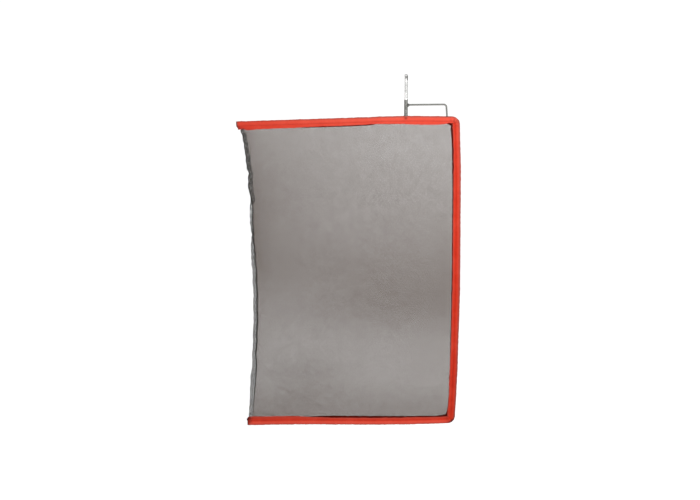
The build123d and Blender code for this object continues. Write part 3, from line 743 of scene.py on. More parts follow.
def open_edge_hem():
    zs = np.arange(Z_LOW, Z_TOP + 0.1, 2.0)
    zs = np.append(zs[:-1], Z_TOP)
    rows, uvs = [], []
    loft = Wave(221, 14, 60, 7)
    for z in zs:
        x, y, angle = hem_section(z)
        n = len(x)
        seam = float(hem_outer(z)) + x.max() + 0.5
        along_hem = np.linspace(0, 1, n)
        h = 0.52 + 0.14 * loft(z) + 0.22 * smooth(along_hem, 0.5, 1.0)
        h = h * np.concatenate([[0.6, 0.85], np.ones(n - 2)])
        tuck = min(1.0, float(smooth(z, Z_TOP - 9, Z_TOP - 2) + (1 - smooth(z, Z_LOW + 2, Z_LOW + 9))))
        h = h * (1 - 0.35 * tuck)
        nx, ny = np.sin(angle), np.cos(angle)
        base_y = float(net_y(np.array([seam]), np.array([z]))[0]) * (1 - tuck)
        y = y * (1 - 0.45 * tuck)
        front = np.stack([seam - x - nx * h, base_y + y - ny * h], 1)
        back = np.stack([seam - x + nx * h, base_y + y + ny * h], 1)
        tx, ty = math.cos(angle[-1]), -math.sin(angle[-1])
        fold = np.array([[seam - x[-1] - tx * h[-1] * 0.9, base_y + y[-1] + ty * h[-1] * 0.9]])
        # the raw edges are turned in along the seam, between the hem's two walls
        path = np.concatenate([[0], np.cumsum(np.hypot(np.diff(x), np.diff(y)))])
        turned = float(HEM_TURNED(z + GRIP_ABOVE_FRAME)) * (1 + 0.12 * float(loft(z + 90)))
        inner = np.linspace(turned, 0.15, 5)
        ix, iy, ia = np.interp(inner, path, x), np.interp(inner, path, y), np.interp(inner, path, angle)
        ih = 0.30 * (1 - 0.35 * tuck)
        turn_front = np.stack([seam - ix - np.sin(ia) * ih, base_y + iy - np.cos(ia) * ih], 1)
        turn_back = np.stack([seam - ix + np.sin(ia) * ih, base_y + iy + np.cos(ia) * ih], 1)
        sec = np.concatenate([turn_front, front, fold, back[::-1], turn_back[::-1]])
        rows.append(np.stack([sec[:, 0], sec[:, 1], np.full(len(sec), z)], 1))
        arc = np.concatenate([[0], np.cumsum(np.linalg.norm(np.diff(sec, axis=0), axis=1))])
        uvs.append(np.stack([arc, np.full(len(sec), z)], 1))
    n = len(rows[0])
    verts = np.concatenate(rows)
    # the rolled upper part is twisted, and its turns show as slanting streaks
    turn = np.abs(np.linspace(-1, 1, n))
    tones = []
    for z in zs:
        s = z + GRIP_ABOVE_FRAME
        rolled = float(smooth(s, -330, -235))
        streak = np.sin(2 * math.pi * (s / 23.0 + 0.25 * float(HEM_TWIST(s))) + 5.5 * turn)
        tones.append(-0.018 + 0.046 * float(1 - smooth(s, -330, -230)) + rolled * (0.042 * streak - 0.014))
    yarn_and_shade = np.concatenate(tones)
    ob = make_mesh("open_edge_hem_net", verts * MM, grid(len(zs), n), np.concatenate(uvs), {"yarn_and_shade": yarn_and_shade})
    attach(ob, "root")
    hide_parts("open_edge_hem")
    return ob


def hem_thread():
    """A close overlock seam down the hem, and its twin on the back."""
    r = np.random.RandomState(63)
    items = []
    for side in (-1, 1):
        z = Z_LOW + 7.0
        n = 0
        while z < Z_TOP - 7:
            x, y, angle = hem_section(z)
            seam = float(hem_outer(z)) + x.max() + 0.5
            path = np.concatenate([[0], np.cumsum(np.hypot(np.diff(x), np.diff(y)))])
            wide = 0.55 * float(HEM_TURNED(z + GRIP_ABOVE_FRAME))
            at_path = 0.5 + wide * 0.72 + r.normal(0, 0.08)
            px, py, pa = (float(np.interp(at_path, path, v)) for v in (x, y, angle))
            out = np.array([-math.sin(pa), 0, 0]) * 1.0
            o = unit(np.array([-math.sin(pa), -math.cos(pa), 0.0])) * (1.0 if side < 0 else -1.0)
            across = unit(np.array([-math.cos(pa), math.sin(pa), 0.0]))
            c = np.array([seam - px, float(net_y(np.array([seam]), np.array([z]))[0]) + py, z]) + o * 0.62
            a = unit(across * (1.0 if n % 2 else -1.0) * wide + np.array([0, 0, 0.75]))
            items.append((c, a, unit(np.cross(o, a)), o, math.hypot(wide, 0.75) * 1.25, 0.60, 0.40))
            z += 1.05
            n += 1
    v, f, uv = stitch_group(items)
    ob = make_mesh("hem_seam_thread", v * MM, f, uv)
    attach(ob, "root")
    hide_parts("hem_stitching")
    return ob


# ------------------------------------------------------------------ net
def net(name, side, seed):
    """One layer of net, stretched between the three strips and the hem."""
    cols, rows = 150, 226
    a = np.linspace(0, 1, cols)
    b = np.linspace(0, 1, rows)
    A, B = np.meshgrid(a, b)
    x = -450 + A * 590
    z = -985 + B * 890
    zs = np.linspace(-1010, -80, 320)
    seam_x = hem_seam_x(np.clip(zs, Z_LOW, Z_TOP))
    for _ in range(6):
        left = np.interp(z, zs, seam_x) - 1.0
        right = np.interp(z, SIDE_U[::-1, 1], SIDE_U[::-1, 0])
        top = np.interp(x, TOP_U[:, 0], TOP_U[:, 1])
        low = np.interp(x, LOW_U[::-1, 0], LOW_U[::-1, 1])
        x = left + (right - left) * A
        z = low + (top - low) * B
    near = np.minimum.reduce([smooth(right - x, 4, 60), smooth(top - z, 4, 60), smooth(z - low, 4, 60)])
    slack = Wave(seed, 60, 260, 7)
    y = net_y(x, z) * np.clip(near, 0, 1) + side * (0.42 + 0.10 * np.abs(slack(x, z)) * near)
    flat_x, flat_z = x + 1.2 * Wave(seed + 3, 120, 500)(z, x), z + 1.2 * Wave(seed + 4, 120, 500)(x, z)
    # painted light and shade: the yarn is drawn thicker or thinner over the field in broad soft bands, thinner and so
    # lighter towards the top, and thicker and so darker beside the hem
    s = z + GRIP_ABOVE_FRAME
    X = x - PIN_FROM_CLOSED_EDGE
    across = np.clip((X + 600) / 600, 0, 1)
    yarn_and_shade = 0.030 * bump(s, -500 - 40 * (across - 0.5), 130) * (0.35 + 0.65 * smooth(across, 0.1, 0.8))
    yarn_and_shade += 0.024 * bump(s, -360, 210) * (1 - smooth(across, 0.0, 0.55))
    yarn_and_shade -= 0.034 * smooth(s, -420, -30) * (0.25 + 0.75 * smooth(across, 0.0, 1.0))
    yarn_and_shade -= 0.004 * bump(s, -700, 110)
    yarn_and_shade += 0.020 * smooth(-s, 800, 895)
    yarn_and_shade += 0.010 * bump(s, -190, 90) * (1 - smooth(across, 0.0, 0.35)) + 0.006 * bump(s, -400, 90) * smooth(across, 0.2, 0.6)
    yarn_and_shade += 0.008 * bump(s, -745, 45) * bump(across, 0.28, 0.2)
    yarn_and_shade += 0.009 * bump(s, -180, 90) + 0.006 * bump(s, -310, 70) + 0.009 * bump(s, -425, 60) * bump(across, 0.35, 0.3)
    yarn_and_shade += 0.010 * bump(s, -535, 60) * smooth(across, 0.35, 0.65) + 0.014 * bump(s, -775, 55) * bump(across, 0.28, 0.22)
    yarn_and_shade += 0.012 * np.exp(-(x - left) / 45.0) * smooth(s, -130, -40)
    yarn_and_shade += 0.012 * smooth(-s, 770, 830) + 0.009 * bump(s, -845, 42) * bump(across, 0.22, 0.13) + 0.007 * smooth(-s, 858, 892) * (1 - smooth(across, 0.05, 0.3))
    yarn_and_shade += 0.006 * bump(s, -70, 50) * (1 - smooth(across, 0.0, 0.35)) + 0.005 * bump(s, -45, 25) * smooth(across, 0.7, 0.9)
    yarn_and_shade += 0.006 * bump(s, -430, 90) * smooth(across, 0.75, 1.0) + 0.006 * bump(s, -560, 60) * bump(across, 0.42, 0.15)
    yarn_and_shade += 0.006 * bump(s, -735, 50) * smooth(across, 0.6, 0.85) - 0.005 * bump(s, -175, 40) * smooth(across, 0.8, 1.0)
    upper_half = smooth(s, -520, -420)
    yarn_and_shade += (0.012 + 0.020 * upper_half) * np.exp(-(x - left) / (16.0 + 12.0 * upper_half))
    verts = np.stack([x, y, z], -1).reshape(-1, 3)
    uv = np.stack([flat_x, flat_z], -1).reshape(-1, 2)
    ob = make_mesh(name, verts * MM, grid(rows, cols), uv, {"yarn_and_shade": yarn_and_shade.ravel()})
    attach(ob, "root")
    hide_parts("net_front" if side < 0 else "net_back")
    return ob


# ------------------------------------------------------------------ welds
def weld_ring(name, replaces, centre, axis, radii, seed, ripples=17, squash=(1.0, 1.0)):
    """A bead round a rod: radii are (height along the axis, radius) pairs, with the ripple marks of a hand weld."""
    r = np.random.RandomState(seed)
    axis = unit(np.asarray(axis, float))
    side = unit(np.cross(axis, [0, 1, 0]) if abs(axis[1]) < 0.9 else np.cross(axis, [1, 0, 0]))
    other = np.cross(axis, side)
    sides, verts, uv = 72, [], []
    lump = Wave(seed + 1, 1.1, 6.3, 6)
    prof = np.array(radii, float)
    t = np.linspace(0, 1, 13)
    d = np.concatenate([[0], np.cumsum(np.linalg.norm(np.diff(prof, axis=0), axis=1))])
    d /= d[-1]
    hh, rr = np.interp(t, d, prof[:, 0]), np.interp(t, d, prof[:, 1])
    for i, (h, rad) in enumerate(zip(hh, rr)):
        for j in range(sides):
            a = 2 * math.pi * j / sides
            belly = math.sin(math.pi * min(1, t[i])) ** 0.8
            k = rad + belly * (0.22 * math.cos(ripples * a + 2.2 * t[i] * 3) + 0.35 * math.sin(a + 0.7) + 0.16 * float(lump(a * 2.0, t[i] * 3)))
            p = np.asarray(centre) + axis * h + (side * math.cos(a) * squash[0] + other * math.sin(a) * squash[1]) * k
            verts.append(p)
            uv.append((a * rad, h))
    faces = [list(f) for f in grid(13, sides, True)]
    faces.append(list(range(sides))[::-1])
    faces.append([12 * sides + j for j in range(sides)])
    ob = make_mesh(name, np.array(verts) * MM, faces, np.array(uv))
    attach(ob, "root")
    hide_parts(replaces)
    return ob


# ------------------------------------------------------------------ materials
class Mat:
    def __init__(self, name):
        self.m = bpy.data.materials.new(name)
        self.m.use_nodes = True
        self.nt = self.m.node_tree
        self.nt.nodes.clear()
        self.out = self.nt.nodes.new("ShaderNodeOutputMaterial")

    def add(self, kind, **kw):
        n = self.nt.nodes.new("ShaderNode" + kind)
        for k, v in kw.items():
            setattr(n, k, v)
        return n

    def put(self, socket, value):
        if value is None:
            return
        if hasattr(value, "is_output"):
            self.nt.links.new(value, socket)
        else:
            socket.default_value = value

    def math(self, op, a, b=None, c=None, clamp=False):
        n = self.add("Math", operation=op, use_clamp=clamp)
        for s, v in zip(n.inputs, (a, b, c)):
            self.put(s, v)
        return n.outputs[0]

    def vec(self, op, a, b=None, c=None):
        n = self.add("VectorMath", operation=op)
        if op == "SCALE":
            self.put(n.inputs[0], a)
            self.put(n.inputs["Scale"], b)
        else:
            for s, v in zip(n.inputs, (a, b, c)):
                self.put(s, v)
        return n.outputs["Value"] if op in ("DOT_PRODUCT", "LENGTH", "DISTANCE") else n.outputs[0]

    def uv(self, name="cloth"):
        return self.add("UVMap", uv_map=name).outputs[0]

    def obj(self):
        return self.add("TexCoord").outputs["Object"]

    def attr(self, name):
        return self.add("Attribute", attribute_name=name, attribute_type="GEOMETRY").outputs["Fac"]

    def split(self, v):
        n = self.add("SeparateXYZ")
        self.put(n.inputs[0], v)
        return n.outputs

    def join(self, x, y, z=0.0):
        n = self.add("CombineXYZ")
        for s, v in zip(n.inputs, (x, y, z)):
            self.put(s, v)
        return n.outputs[0]

    def noise(self, vector, scale, detail=3.0, rough=0.55, distortion=0.0):
        n = self.add("TexNoise")
        self.put(n.inputs["Vector"], vector)
        n.inputs["Scale"].default_value = scale
        n.inputs["Detail"].default_value = detail
        n.inputs["Roughness"].default_value = rough
        n.inputs["Distortion"].default_value = distortion
        return n.outputs[0]

    def ramp(self, fac, stops, interp="LINEAR"):
        n = self.add("ValToRGB")
        n.color_ramp.interpolation = interp
        while len(n.color_ramp.elements) > 1:
            n.color_ramp.elements.remove(n.color_ramp.elements[-1])
        n.color_ramp.elements[0].position = stops[0][0]
        n.color_ramp.elements[0].color = (*stops[0][1], 1)
        for pos, col in stops[1:]:
            e = n.color_ramp.elements.new(pos)
            e.color = (*col, 1)
        self.put(n.inputs[0], fac)
        return n.outputs[0]

    def mix(self, fac, a, b, blend="MIX"):
        n = self.add("Mix", data_type="RGBA", blend_type=blend)
        self.put(n.inputs[0], fac)
        for s, v in ((n.inputs[6], a), (n.inputs[7], b)):
            self.put(s, (*v, 1) if isinstance(v, tuple) and len(v) == 3 else v)
        return n.outputs[2]

    def maprange(self, v, a, b, c, d, kind="LINEAR"):
        n = self.add("MapRange", interpolation_type=kind)
        for s, x in zip(n.inputs[:5], (v, a, b, c, d)):
            self.put(s, x)
        return n.outputs[0]

    def bump(self, height, distance, strength=1.0, normal=None):
        n = self.add("Bump")
        self.put(n.inputs["Height"], height)
        n.inputs["Distance"].default_value = distance
        n.inputs["Strength"].default_value = strength
        self.put(n.inputs["Normal"], normal)
        return n.outputs[0]

    def shader(self, color, rough=0.5, metallic=0.0, normal=None, specular=0.5, sheen=None, coat=None):
        p = self.add("BsdfPrincipled")
        self.put(p.inputs["Base Color"], (*color, 1) if isinstance(color, tuple) and len(color) == 3 else color)
        self.put(p.inputs["Roughness"], rough)
        self.put(p.inputs["Metallic"], metallic)
        self.put(p.inputs["Normal"], normal)
        p.inputs["Specular IOR Level"].default_value = specular
        if sheen:
            weight, srough, tint = sheen
            p.inputs["Sheen Weight"].default_value = weight
            p.inputs["Sheen Roughness"].default_value = srough
            p.inputs["Sheen Tint"].default_value = (*tint, 1)
        if coat:
            p.inputs["Coat Weight"].default_value = coat[0]
            p.inputs["Coat Roughness"].default_value = coat[1]
        return p.outputs[0]

    def finish(self, shader):
        self.nt.links.new(shader, self.out.inputs["Surface"])
        return self.m


def sine(m, v, freq, phase=0.0):
    return m.math("SINE", m.math("MULTIPLY_ADD", v, freq, phase))


def woven(name, light, dark, worn, pitch=0.62, twill=True, sheen=(0.10, 0.5, (1.0, 0.66, 0.56)), seam_shade=0.12, level=0.22):
    """Twill-woven tape in the strip's own coordinates: x along it and y across, in millimetres."""
    m = Mat(name)
    uv = m.uv()
    x, y, _ = m.split(uv)
    wob = m.noise(uv, 0.35, 2.0)
    xw = m.math("MULTIPLY_ADD", wob, 0.5, x)
    k = 2 * math.pi / pitch
    warp = sine(m, xw, k)
    weft = sine(m, y, k)
    if twill:
        diag = sine(m, m.math("ADD", xw, y), k / 2)
    else:
        diag = m.math("MULTIPLY", warp, weft)
    height = m.math("ADD", m.math("MULTIPLY", diag, 0.6), m.math("MULTIPLY", m.math("MULTIPLY", warp, weft), 0.4))
    slub = m.noise(m.join(m.math("MULTIPLY", x, 0.25), m.math("MULTIPLY", y, 3.0)), 1.0, 3.0)
    cloud = m.noise(uv, 0.028, 4.0, 0.6)
    fuzz = m.noise(uv, 2.6, 3.0, 0.7)
    shade = m.math("ADD", m.math("MULTIPLY", cloud, 0.55), m.math("ADD", m.math("MULTIPLY", slub, 0.25), m.math("MULTIPLY", fuzz, 0.20)))
    col = m.ramp(shade, [(0.30, dark), (0.50, light), (0.72, worn)])
    thread = m.maprange(height, -1.0, 1.0, 0.72, 1.06)
    col = m.mix(1.0, col, m.join(thread, thread, thread), "MULTIPLY")
    if seam_shade is not None:
        # painted shade in the seam's groove
        s = m.math("MULTIPLY", m.attr("seam"), seam_shade, clamp=True)
        col = m.mix(s, col, tuple(c * 0.42 for c in dark))
        # painted sheen: a paler pink over the crest
        col = m.mix(m.math("MULTIPLY", m.attr("painted_sheen"), m.maprange(cloud, 0.3, 0.7, 0.85, 1.1), clamp=True), col, (0.95, 0.135, 0.088))
        # painted edge shade: greyish brown on the outer edge and the leaves' inner edges
        col = m.mix(m.math("MULTIPLY", m.attr("painted_edge_shade"), m.maprange(fuzz, 0.3, 0.7, 0.30, 0.52), clamp=True), col, (0.145, 0.105, 0.088))
        # painted shade: dark maroon round the pin, on the corners and at the cut ends
        col = m.mix(m.math("MULTIPLY", m.attr("painted_shade"), m.maprange(fuzz, 0.3, 0.65, 0.72, 1.0), clamp=True), col, (0.085, 0.008, 0.006))
        f = m.math("MULTIPLY", m.math("MULTIPLY", m.attr("fold"), m.maprange(fuzz, 0.4, 0.62, 0.0, 1.0)), 0.45, clamp=True)
        col = m.mix(f, col, worn)
    normal = m.bump(height, 0.00010, 0.55)
    normal = m.bump(fuzz, 0.00012, 0.35, normal)
    rough = m.maprange(fuzz, 0.3, 0.7, 0.80, 0.95)
    return m.finish(m.shader(col, rough, 0.0, normal, level, sheen))


def thread_mat(name, light, dark):
    m = Mat(name)
    uv = m.uv()
    x, y, _ = m.split(uv)
    ply = sine(m, m.math("ADD", x, m.math("MULTIPLY", y, 0.5)), 2 * math.pi / 0.55)
    fuzz = m.noise(uv, 3.5, 3.0, 0.7)
    col = m.ramp(m.math("MULTIPLY_ADD", ply, 0.22, fuzz), [(0.25, dark), (0.65, light)])
    return m.finish(m.shader(col, m.maprange(fuzz, 0.3, 0.7, 0.45, 0.7), 0.0, m.bump(ply, 0.00008, 0.6), 0.4,
                             (0.12, 0.4, (1, 1, 1))))


def net_mat(name, pitch, turn, half_yarn, yarn=(0.078, 0.048, 0.032), shift=(0.0, 0.0)):
    """Knitted net: black yarn round six-sided holes, in the piece's own flat millimetres. The yarn_and_shade attribute
    thickens or thins the yarn: on the hem with its twist, and on the two layers as painted light and shade."""
    m = Mat(name)
    uv = m.uv()
    wob = m.vec("SCALE", m.vec("SUBTRACT", m.add_noise_color(uv, 0.06), (0.5, 0.5, 0.5)), 0.9)
    fine = m.vec("SCALE", m.vec("SUBTRACT", m.add_noise_color(uv, 0.45), (0.5, 0.5, 0.5)), 0.30)
    p = m.vec("ADD", m.vec("ADD", uv, wob), fine)
    x, y, _ = m.split(p)
    c, s = math.cos(turn), math.sin(turn)
    px = m.math("ADD", m.math("MULTIPLY", x, c / pitch), m.math("MULTIPLY_ADD", y, -s / pitch, shift[0]))
    py = m.math("ADD", m.math("MULTIPLY", x, s / pitch), m.math("MULTIPLY_ADD", y, c / pitch, shift[1]))
    p = m.join(px, py, 0.5)
    r = (1.0, math.sqrt(3.0), 1.0)
    h = tuple(v / 2 for v in r)
    a = m.vec("SUBTRACT", m.vec("WRAP", p, r, (0, 0, 0)), h)
    b = m.vec("SUBTRACT", m.vec("WRAP", m.vec("SUBTRACT", p, h), r, (0, 0, 0)), h)
    flat = (1.0, 1.0, 0.0)
    a, b = m.vec("MULTIPLY", a, flat), m.vec("MULTIPLY", b, flat)
    pick = m.math("LESS_THAN", m.vec("LENGTH", a), m.vec("LENGTH", b))
    n = m.add("Mix", data_type="VECTOR")
    m.put(n.inputs[0], pick)
    m.put(n.inputs[4], b)
    m.put(n.inputs[5], a)
    g = m.vec("ABSOLUTE", n.outputs[1])
    gx, gy, _ = m.split(g)
    slope = m.math("MULTIPLY_ADD", gx, 0.5, m.math("MULTIPLY", gy, math.sqrt(3.0) / 2))
    edge = m.math("MAXIMUM", gx, slope)
    uneven = m.math("ADD", m.math("MULTIPLY", m.noise(uv, 0.15, 1.0), 0.034), m.math("MULTIPLY", m.noise(uv, 0.045, 1.0), 0.034))
    # a wider yarn darkens the net, which paints light and shade on the two layers
    width = m.math("ADD", m.math("ADD", half_yarn - 0.034, uneven), m.attr("yarn_and_shade"))
    inner = m.math("SUBTRACT", m.math("SUBTRACT", 0.5, width), 0.035)
    outer = m.math("ADD", inner, 0.07)
    cover = m.maprange(edge, inner, outer, 0.0, 1.0, "SMOOTHSTEP")
    knot = m.maprange(edge, inner, 0.5, 0.0, 1.0)
    strand = m.noise(m.join(m.math("MULTIPLY", x, 6.0), m.math("MULTIPLY", y, 2.0)), 1.0, 2.0)
    col = m.ramp(strand, [(0.3, tuple(v * 0.7 for v in yarn)), (0.7, tuple(v * 1.35 for v in yarn))])
    body = m.shader(col, 0.55, 0.0, m.bump(knot, 0.0002, 0.5), 0.35, (0.10, 0.4, (1, 1, 1)))
    clear = m.add("BsdfTransparent").outputs[0]
    mixer = m.add("MixShader")
    m.put(mixer.inputs[0], cover)
    m.nt.links.new(clear, mixer.inputs[1])
    m.nt.links.new(body, mixer.inputs[2])
    return m.finish(mixer.outputs[0])


def _noise_color(self, vector, scale):
    n = self.add("TexNoise")
    self.put(n.inputs["Vector"], vector)
    n.inputs["Scale"].default_value = scale
    n.inputs["Detail"].default_value = 1.0
    return n.outputs["Color"]


Mat.add_noise_color = _noise_color


def enamel(name, base, chip, rough=0.42, metallic=0.0, grain=900.0):
    """Thin grey enamel over steel, with brush drag, specks and rubbed spots."""
    m = Mat(name)
    o = m.obj()
    cloud = m.noise(o, 60.0, 4.0, 0.6)
    speck = m.noise(o, grain, 3.0, 0.65)
    drag = m.noise(m.vec("MULTIPLY", o, (1.0, 1.0, 0.12)), 1400.0, 2.0)
    col = m.ramp(cloud, [(0.3, tuple(v * 0.78 for v in base)), (0.7, tuple(v * 1.2 for v in base))])
    rub = m.maprange(speck, 0.60, 0.68, 0.0, 1.0)
    col = m.mix(m.math("MULTIPLY", rub, 0.45), col, chip)
    normal = m.bump(speck, 0.0002, 0.45)
    normal = m.bump(drag, 0.00012, 0.3, normal)
    r = m.maprange(cloud, 0.3, 0.7, rough - 0.08, rough + 0.14)
    met = m.math("MULTIPLY_ADD", rub, 0.3, metallic, clamp=True)
    return m.finish(m.shader(col, r, met, normal, 0.5))


def pin_mat():
    """Bright plating with scuffs and painted dark reflections on the grip length, and mottled grey enamel and weld
    scale below it.
    """
    m = Mat("pin_plating_bright")
    o = m.obj()
    x, y, z = m.split(o)
    ragged = m.math("MULTIPLY_ADD", m.noise(o, 420.0, 3.0, 0.6), 0.0032, m.math("SUBTRACT", z, 0.0016))
    low = m.maprange(ragged, -0.0338, -0.0328, 1.0, 0.0, "SMOOTHSTEP")
    turning = m.math("SINE", m.math("MULTIPLY_ADD", z, 2 * math.pi / 0.00042, m.math("MULTIPLY", m.noise(o, 300.0, 1.0), 3.0)))
    scuff = m.noise(m.vec("MULTIPLY", o, (1.0, 1.0, 0.35)), 520.0, 4.0, 0.7)
    mark = m.maprange(scuff, 0.62, 0.70, 0.0, 1.0)
    # painted dark reflections on the front: a streak left of the middle, and a dark band and patch near the top
    blotch = m.noise(m.vec("MULTIPLY", o, (1.0, 1.0, 0.6)), 200.0, 3.0, 0.55)
    left_of = m.math("MULTIPLY", m.maprange(x, -0.0040, -0.0026, 0.0, 1.0), m.maprange(x, 0.0016, 0.0038, 1.0, 0.15))
    middle = m.math("MULTIPLY", m.maprange(z, -0.0150, -0.0100, 0.0, 1.0), m.maprange(z, 0.0130, 0.0165, 1.0, 0.0))
    painted_streak = m.math("MULTIPLY", m.math("MULTIPLY", left_of, middle), m.maprange(blotch, 0.34, 0.56, 0.14, 0.58))
    ring = m.math("MULTIPLY", m.maprange(z, 0.0215, 0.0265, 0.0, 1.0), m.maprange(z, 0.0312, 0.0332, 1.0, 0.0))
    ring = m.math("MULTIPLY", ring, m.math("MULTIPLY", m.maprange(x, -0.0042, -0.0026, 0.0, 1.0), m.maprange(x, -0.0016, 0.0004, 0.75, 1.0)))
    hook = m.math("MULTIPLY", m.maprange(x, 0.0006, 0.0018, 0.0, 1.0),
                  m.math("MULTIPLY", m.maprange(z, 0.0200, 0.0220, 0.0, 1.0), m.maprange(z, 0.0250, 0.0260, 1.0, 0.0)))
    front_face = m.maprange(y, -0.0006, 0.0006, 1.0, 0.0)
    painted_dark_cap = m.math("MULTIPLY", m.math("MULTIPLY", m.math("MAXIMUM", ring, hook), m.maprange(blotch, 0.34, 0.54, 0.55, 0.95)), front_face)
    painted_streak = m.math("MULTIPLY", painted_streak, front_face)
    haze = m.noise(o, 140.0, 3.0)
    bright = m.ramp(haze, [(0.3, (0.86, 0.86, 0.85)), (0.7, (0.95, 0.95, 0.94))])
    # a darker band down the grip length, just right of the middle
    darker_band = m.math("MULTIPLY", m.maprange(x, -0.0016, 0.0002, 0.0, 1.0), m.maprange(x, 0.0020, 0.0034, 1.0, 0.0))
    bright = m.mix(m.math("MULTIPLY", darker_band, 0.66), bright, (0.36, 0.36, 0.35))
    bright = m.mix(m.math("MULTIPLY", mark, 0.20), bright, (0.40, 0.40, 0.39))
    # painted dark reflections: the streak, and the dark band and patch near the top
    bright = m.mix(painted_streak, bright, (0.21, 0.21, 0.20))
    bright = m.mix(painted_dark_cap, bright, (0.11, 0.11, 0.105))
    mott = m.noise(o, 520.0, 4.0, 0.65)
    grey = m.ramp(mott, [(0.34, (0.060, 0.062, 0.056)), (0.50, (0.16, 0.16, 0.147)), (0.62, (0.34, 0.34, 0.32)), (0.70, (0.62, 0.62, 0.60))])
    col = m.mix(low, bright, grey)
    rough_hi = m.maprange(haze, 0.3, 0.7, 0.26, 0.40)
    rough = m.math("ADD", m.math("MULTIPLY", rough_hi, m.math("SUBTRACT", 1.0, low)), m.math("MULTIPLY", low, 0.58))
    metal = m.math("SUBTRACT", 1.0, m.math("MULTIPLY", low, 0.80))
    normal = m.bump(turning, 0.00002, 0.2)
    normal = m.bump(m.math("MULTIPLY", mott, low), 0.0006, 0.8, normal)
    normal = m.bump(scuff, 0.00003, 0.15, normal)
    normal = m.bump(m.math("SUBTRACT", 1.0, painted_streak), 0.00006, 0.25, normal)
    return m.finish(m.shader(col, rough, metal, normal, 0.5))


def weld_mat():
    m = Mat("weld_bead_scale")
    o = m.obj()
    n1 = m.noise(o, 700.0, 4.0, 0.65)
    n2 = m.noise(o, 190.0, 3.0)
    col = m.ramp(m.math("MULTIPLY_ADD", n2, 0.5, m.math("MULTIPLY", n1, 0.5)),
                 [(0.32, (0.045, 0.046, 0.043)), (0.52, (0.12, 0.12, 0.112)), (0.68, (0.30, 0.30, 0.285))])
    return m.finish(m.shader(col, m.maprange(n1, 0.3, 0.7, 0.38, 0.65), 0.45, m.bump(n1, 0.0005, 0.7), 0.5))


def vinyl_mat():
    m = Mat("tip_cap_vinyl")
    o = m.obj()
    n = m.noise(o, 900.0, 3.0)
    c = m.noise(o, 200.0, 2.0)
    col = m.ramp(c, [(0.3, (0.022, 0.022, 0.022)), (0.7, (0.055, 0.054, 0.052))])
    return m.finish(m.shader(col, m.maprange(n, 0.3, 0.7, 0.5, 0.7), 0.0, m.bump(n, 0.0002, 0.3), 0.4))


def floor_mat():
    m = Mat("studio_floor")
    o = m.obj()
    n = m.noise(o, 2.0, 3.0)
    col = m.ramp(n, [(0.3, (0.90, 0.90, 0.90)), (0.7, (0.93, 0.93, 0.93))])
    p = m.add("BsdfPrincipled")
    m.put(p.inputs["Base Color"], col)
    p.inputs["Roughness"].default_value = 0.95
    p.inputs["Specular IOR Level"].default_value = 0.0
    p.inputs["Emission Color"].default_value = (1, 1, 1, 1)
    p.inputs["Emission Strength"].default_value = 0.72
    return m.finish(p.outputs[0])


RED = woven("binding_red_twill", (0.800, 0.037, 0.010), (0.66, 0.023, 0.006), (0.86, 0.077, 0.041), sheen=(0.06, 0.5, (1.0, 0.60, 0.50)), level=0.16)
# dark maroon: partly the black tape's own colour, partly painted shadow of the binding
TAPE = woven("edge_tape_black", (0.095, 0.006, 0.003), (0.045, 0.003, 0.001), (0.140, 0.018, 0.010), twill=False,
             sheen=(0.0, 0.4, (1, 0.7, 0.6)), seam_shade=None, level=0.05)
THREAD_RED = thread_mat("thread_red_polyester", (0.66, 0.035, 0.018), (0.36, 0.015, 0.008))
THREAD_BLACK = thread_mat("thread_black_polyester", (0.030, 0.029, 0.028), (0.012, 0.012, 0.012))
NET_FRONT = net_mat("net_black_front", 2.2, 0.012, 0.150)
NET_BACK = net_mat("net_black_back", 2.2, 0.012 + math.pi / 6, 0.150, shift=(0.37, 0.21))
HEM = net_mat("net_black_hem", 2.0, 0.26, 0.150, yarn=(0.052, 0.049, 0.046))
STEEL = enamel("frame_rod_enamel", (0.30, 0.30, 0.285), (0.62, 0.62, 0.60))
BRACE = enamel("brace_rod_enamel", (0.185, 0.187, 0.170), (0.36, 0.36, 0.34), 0.45, 0.10)
PIN = pin_mat()
WELD = weld_mat()
VINYL = vinyl_mat()


def dress(ob, mat):
    ob.data.materials.clear()
    ob.data.materials.append(mat)
    return ob


# ------------------------------------------------------------------ pieces
for part in ("upper", "side", "lower"):
    dress(binding(part), RED)
    dress(stitching(part), THREAD_RED)
dress(end_tacks(), THREAD_RED)
dress(mitre_seams(), THREAD_RED)

dress(open_edge_hem(), HEM)
dress(hem_thread(), THREAD_BLACK)
dress(net("net_front_layer", -1, 401), NET_FRONT)
dress(net("net_back_layer", 1, 421), NET_BACK)

# how far the tape shows past the binding, set partly as painted shadow along the binding's inner edge
TAPE_AND_SHADOW_REACH = {
    "upper": along((0, -3.4), (160, -3.4), (176, 0.8), (215, 1.2), (300, 1.2), (345, 0.6), (372, -0.6), (384, -4.0), (425, -4.0),
                   (440, -1.6), (490, -1.7), (505, -2.6), (566, -3.4), (577, -1.8), (586, -0.4), (594, 1.6), (603, 3.0)),
    "side": along((0, 1.4), (14, 2.6), (25, 2.4), (36, 2.0), (50, 1.2), (70, 0.5), (180, 0.4), (300, 0.3), (480, 0.5),
                  (650, 0.1), (760, -0.8), (830, -1.4), (866, 1.2), (882, 4.0), (903, 5.0)),
    "lower": along((0, 6.0), (12, 5.6), (24, 4.3), (38, 2.8), (52, 1.9), (95, 3.6), (150, 3.7), (200, 4.6), (280, 5.2), (362, 5.0),
                   (392, 3.6), (420, 2.4), (440, 0.6), (452, -1.0), (603, -1.5)),
}
dress(tape("upper", TAPE_AND_SHADOW_REACH["upper"], 501), TAPE)
dress(tape("side", TAPE_AND_SHADOW_REACH["side"], 511), TAPE)
dress(tape("lower", TAPE_AND_SHADOW_REACH["lower"], 521), TAPE)

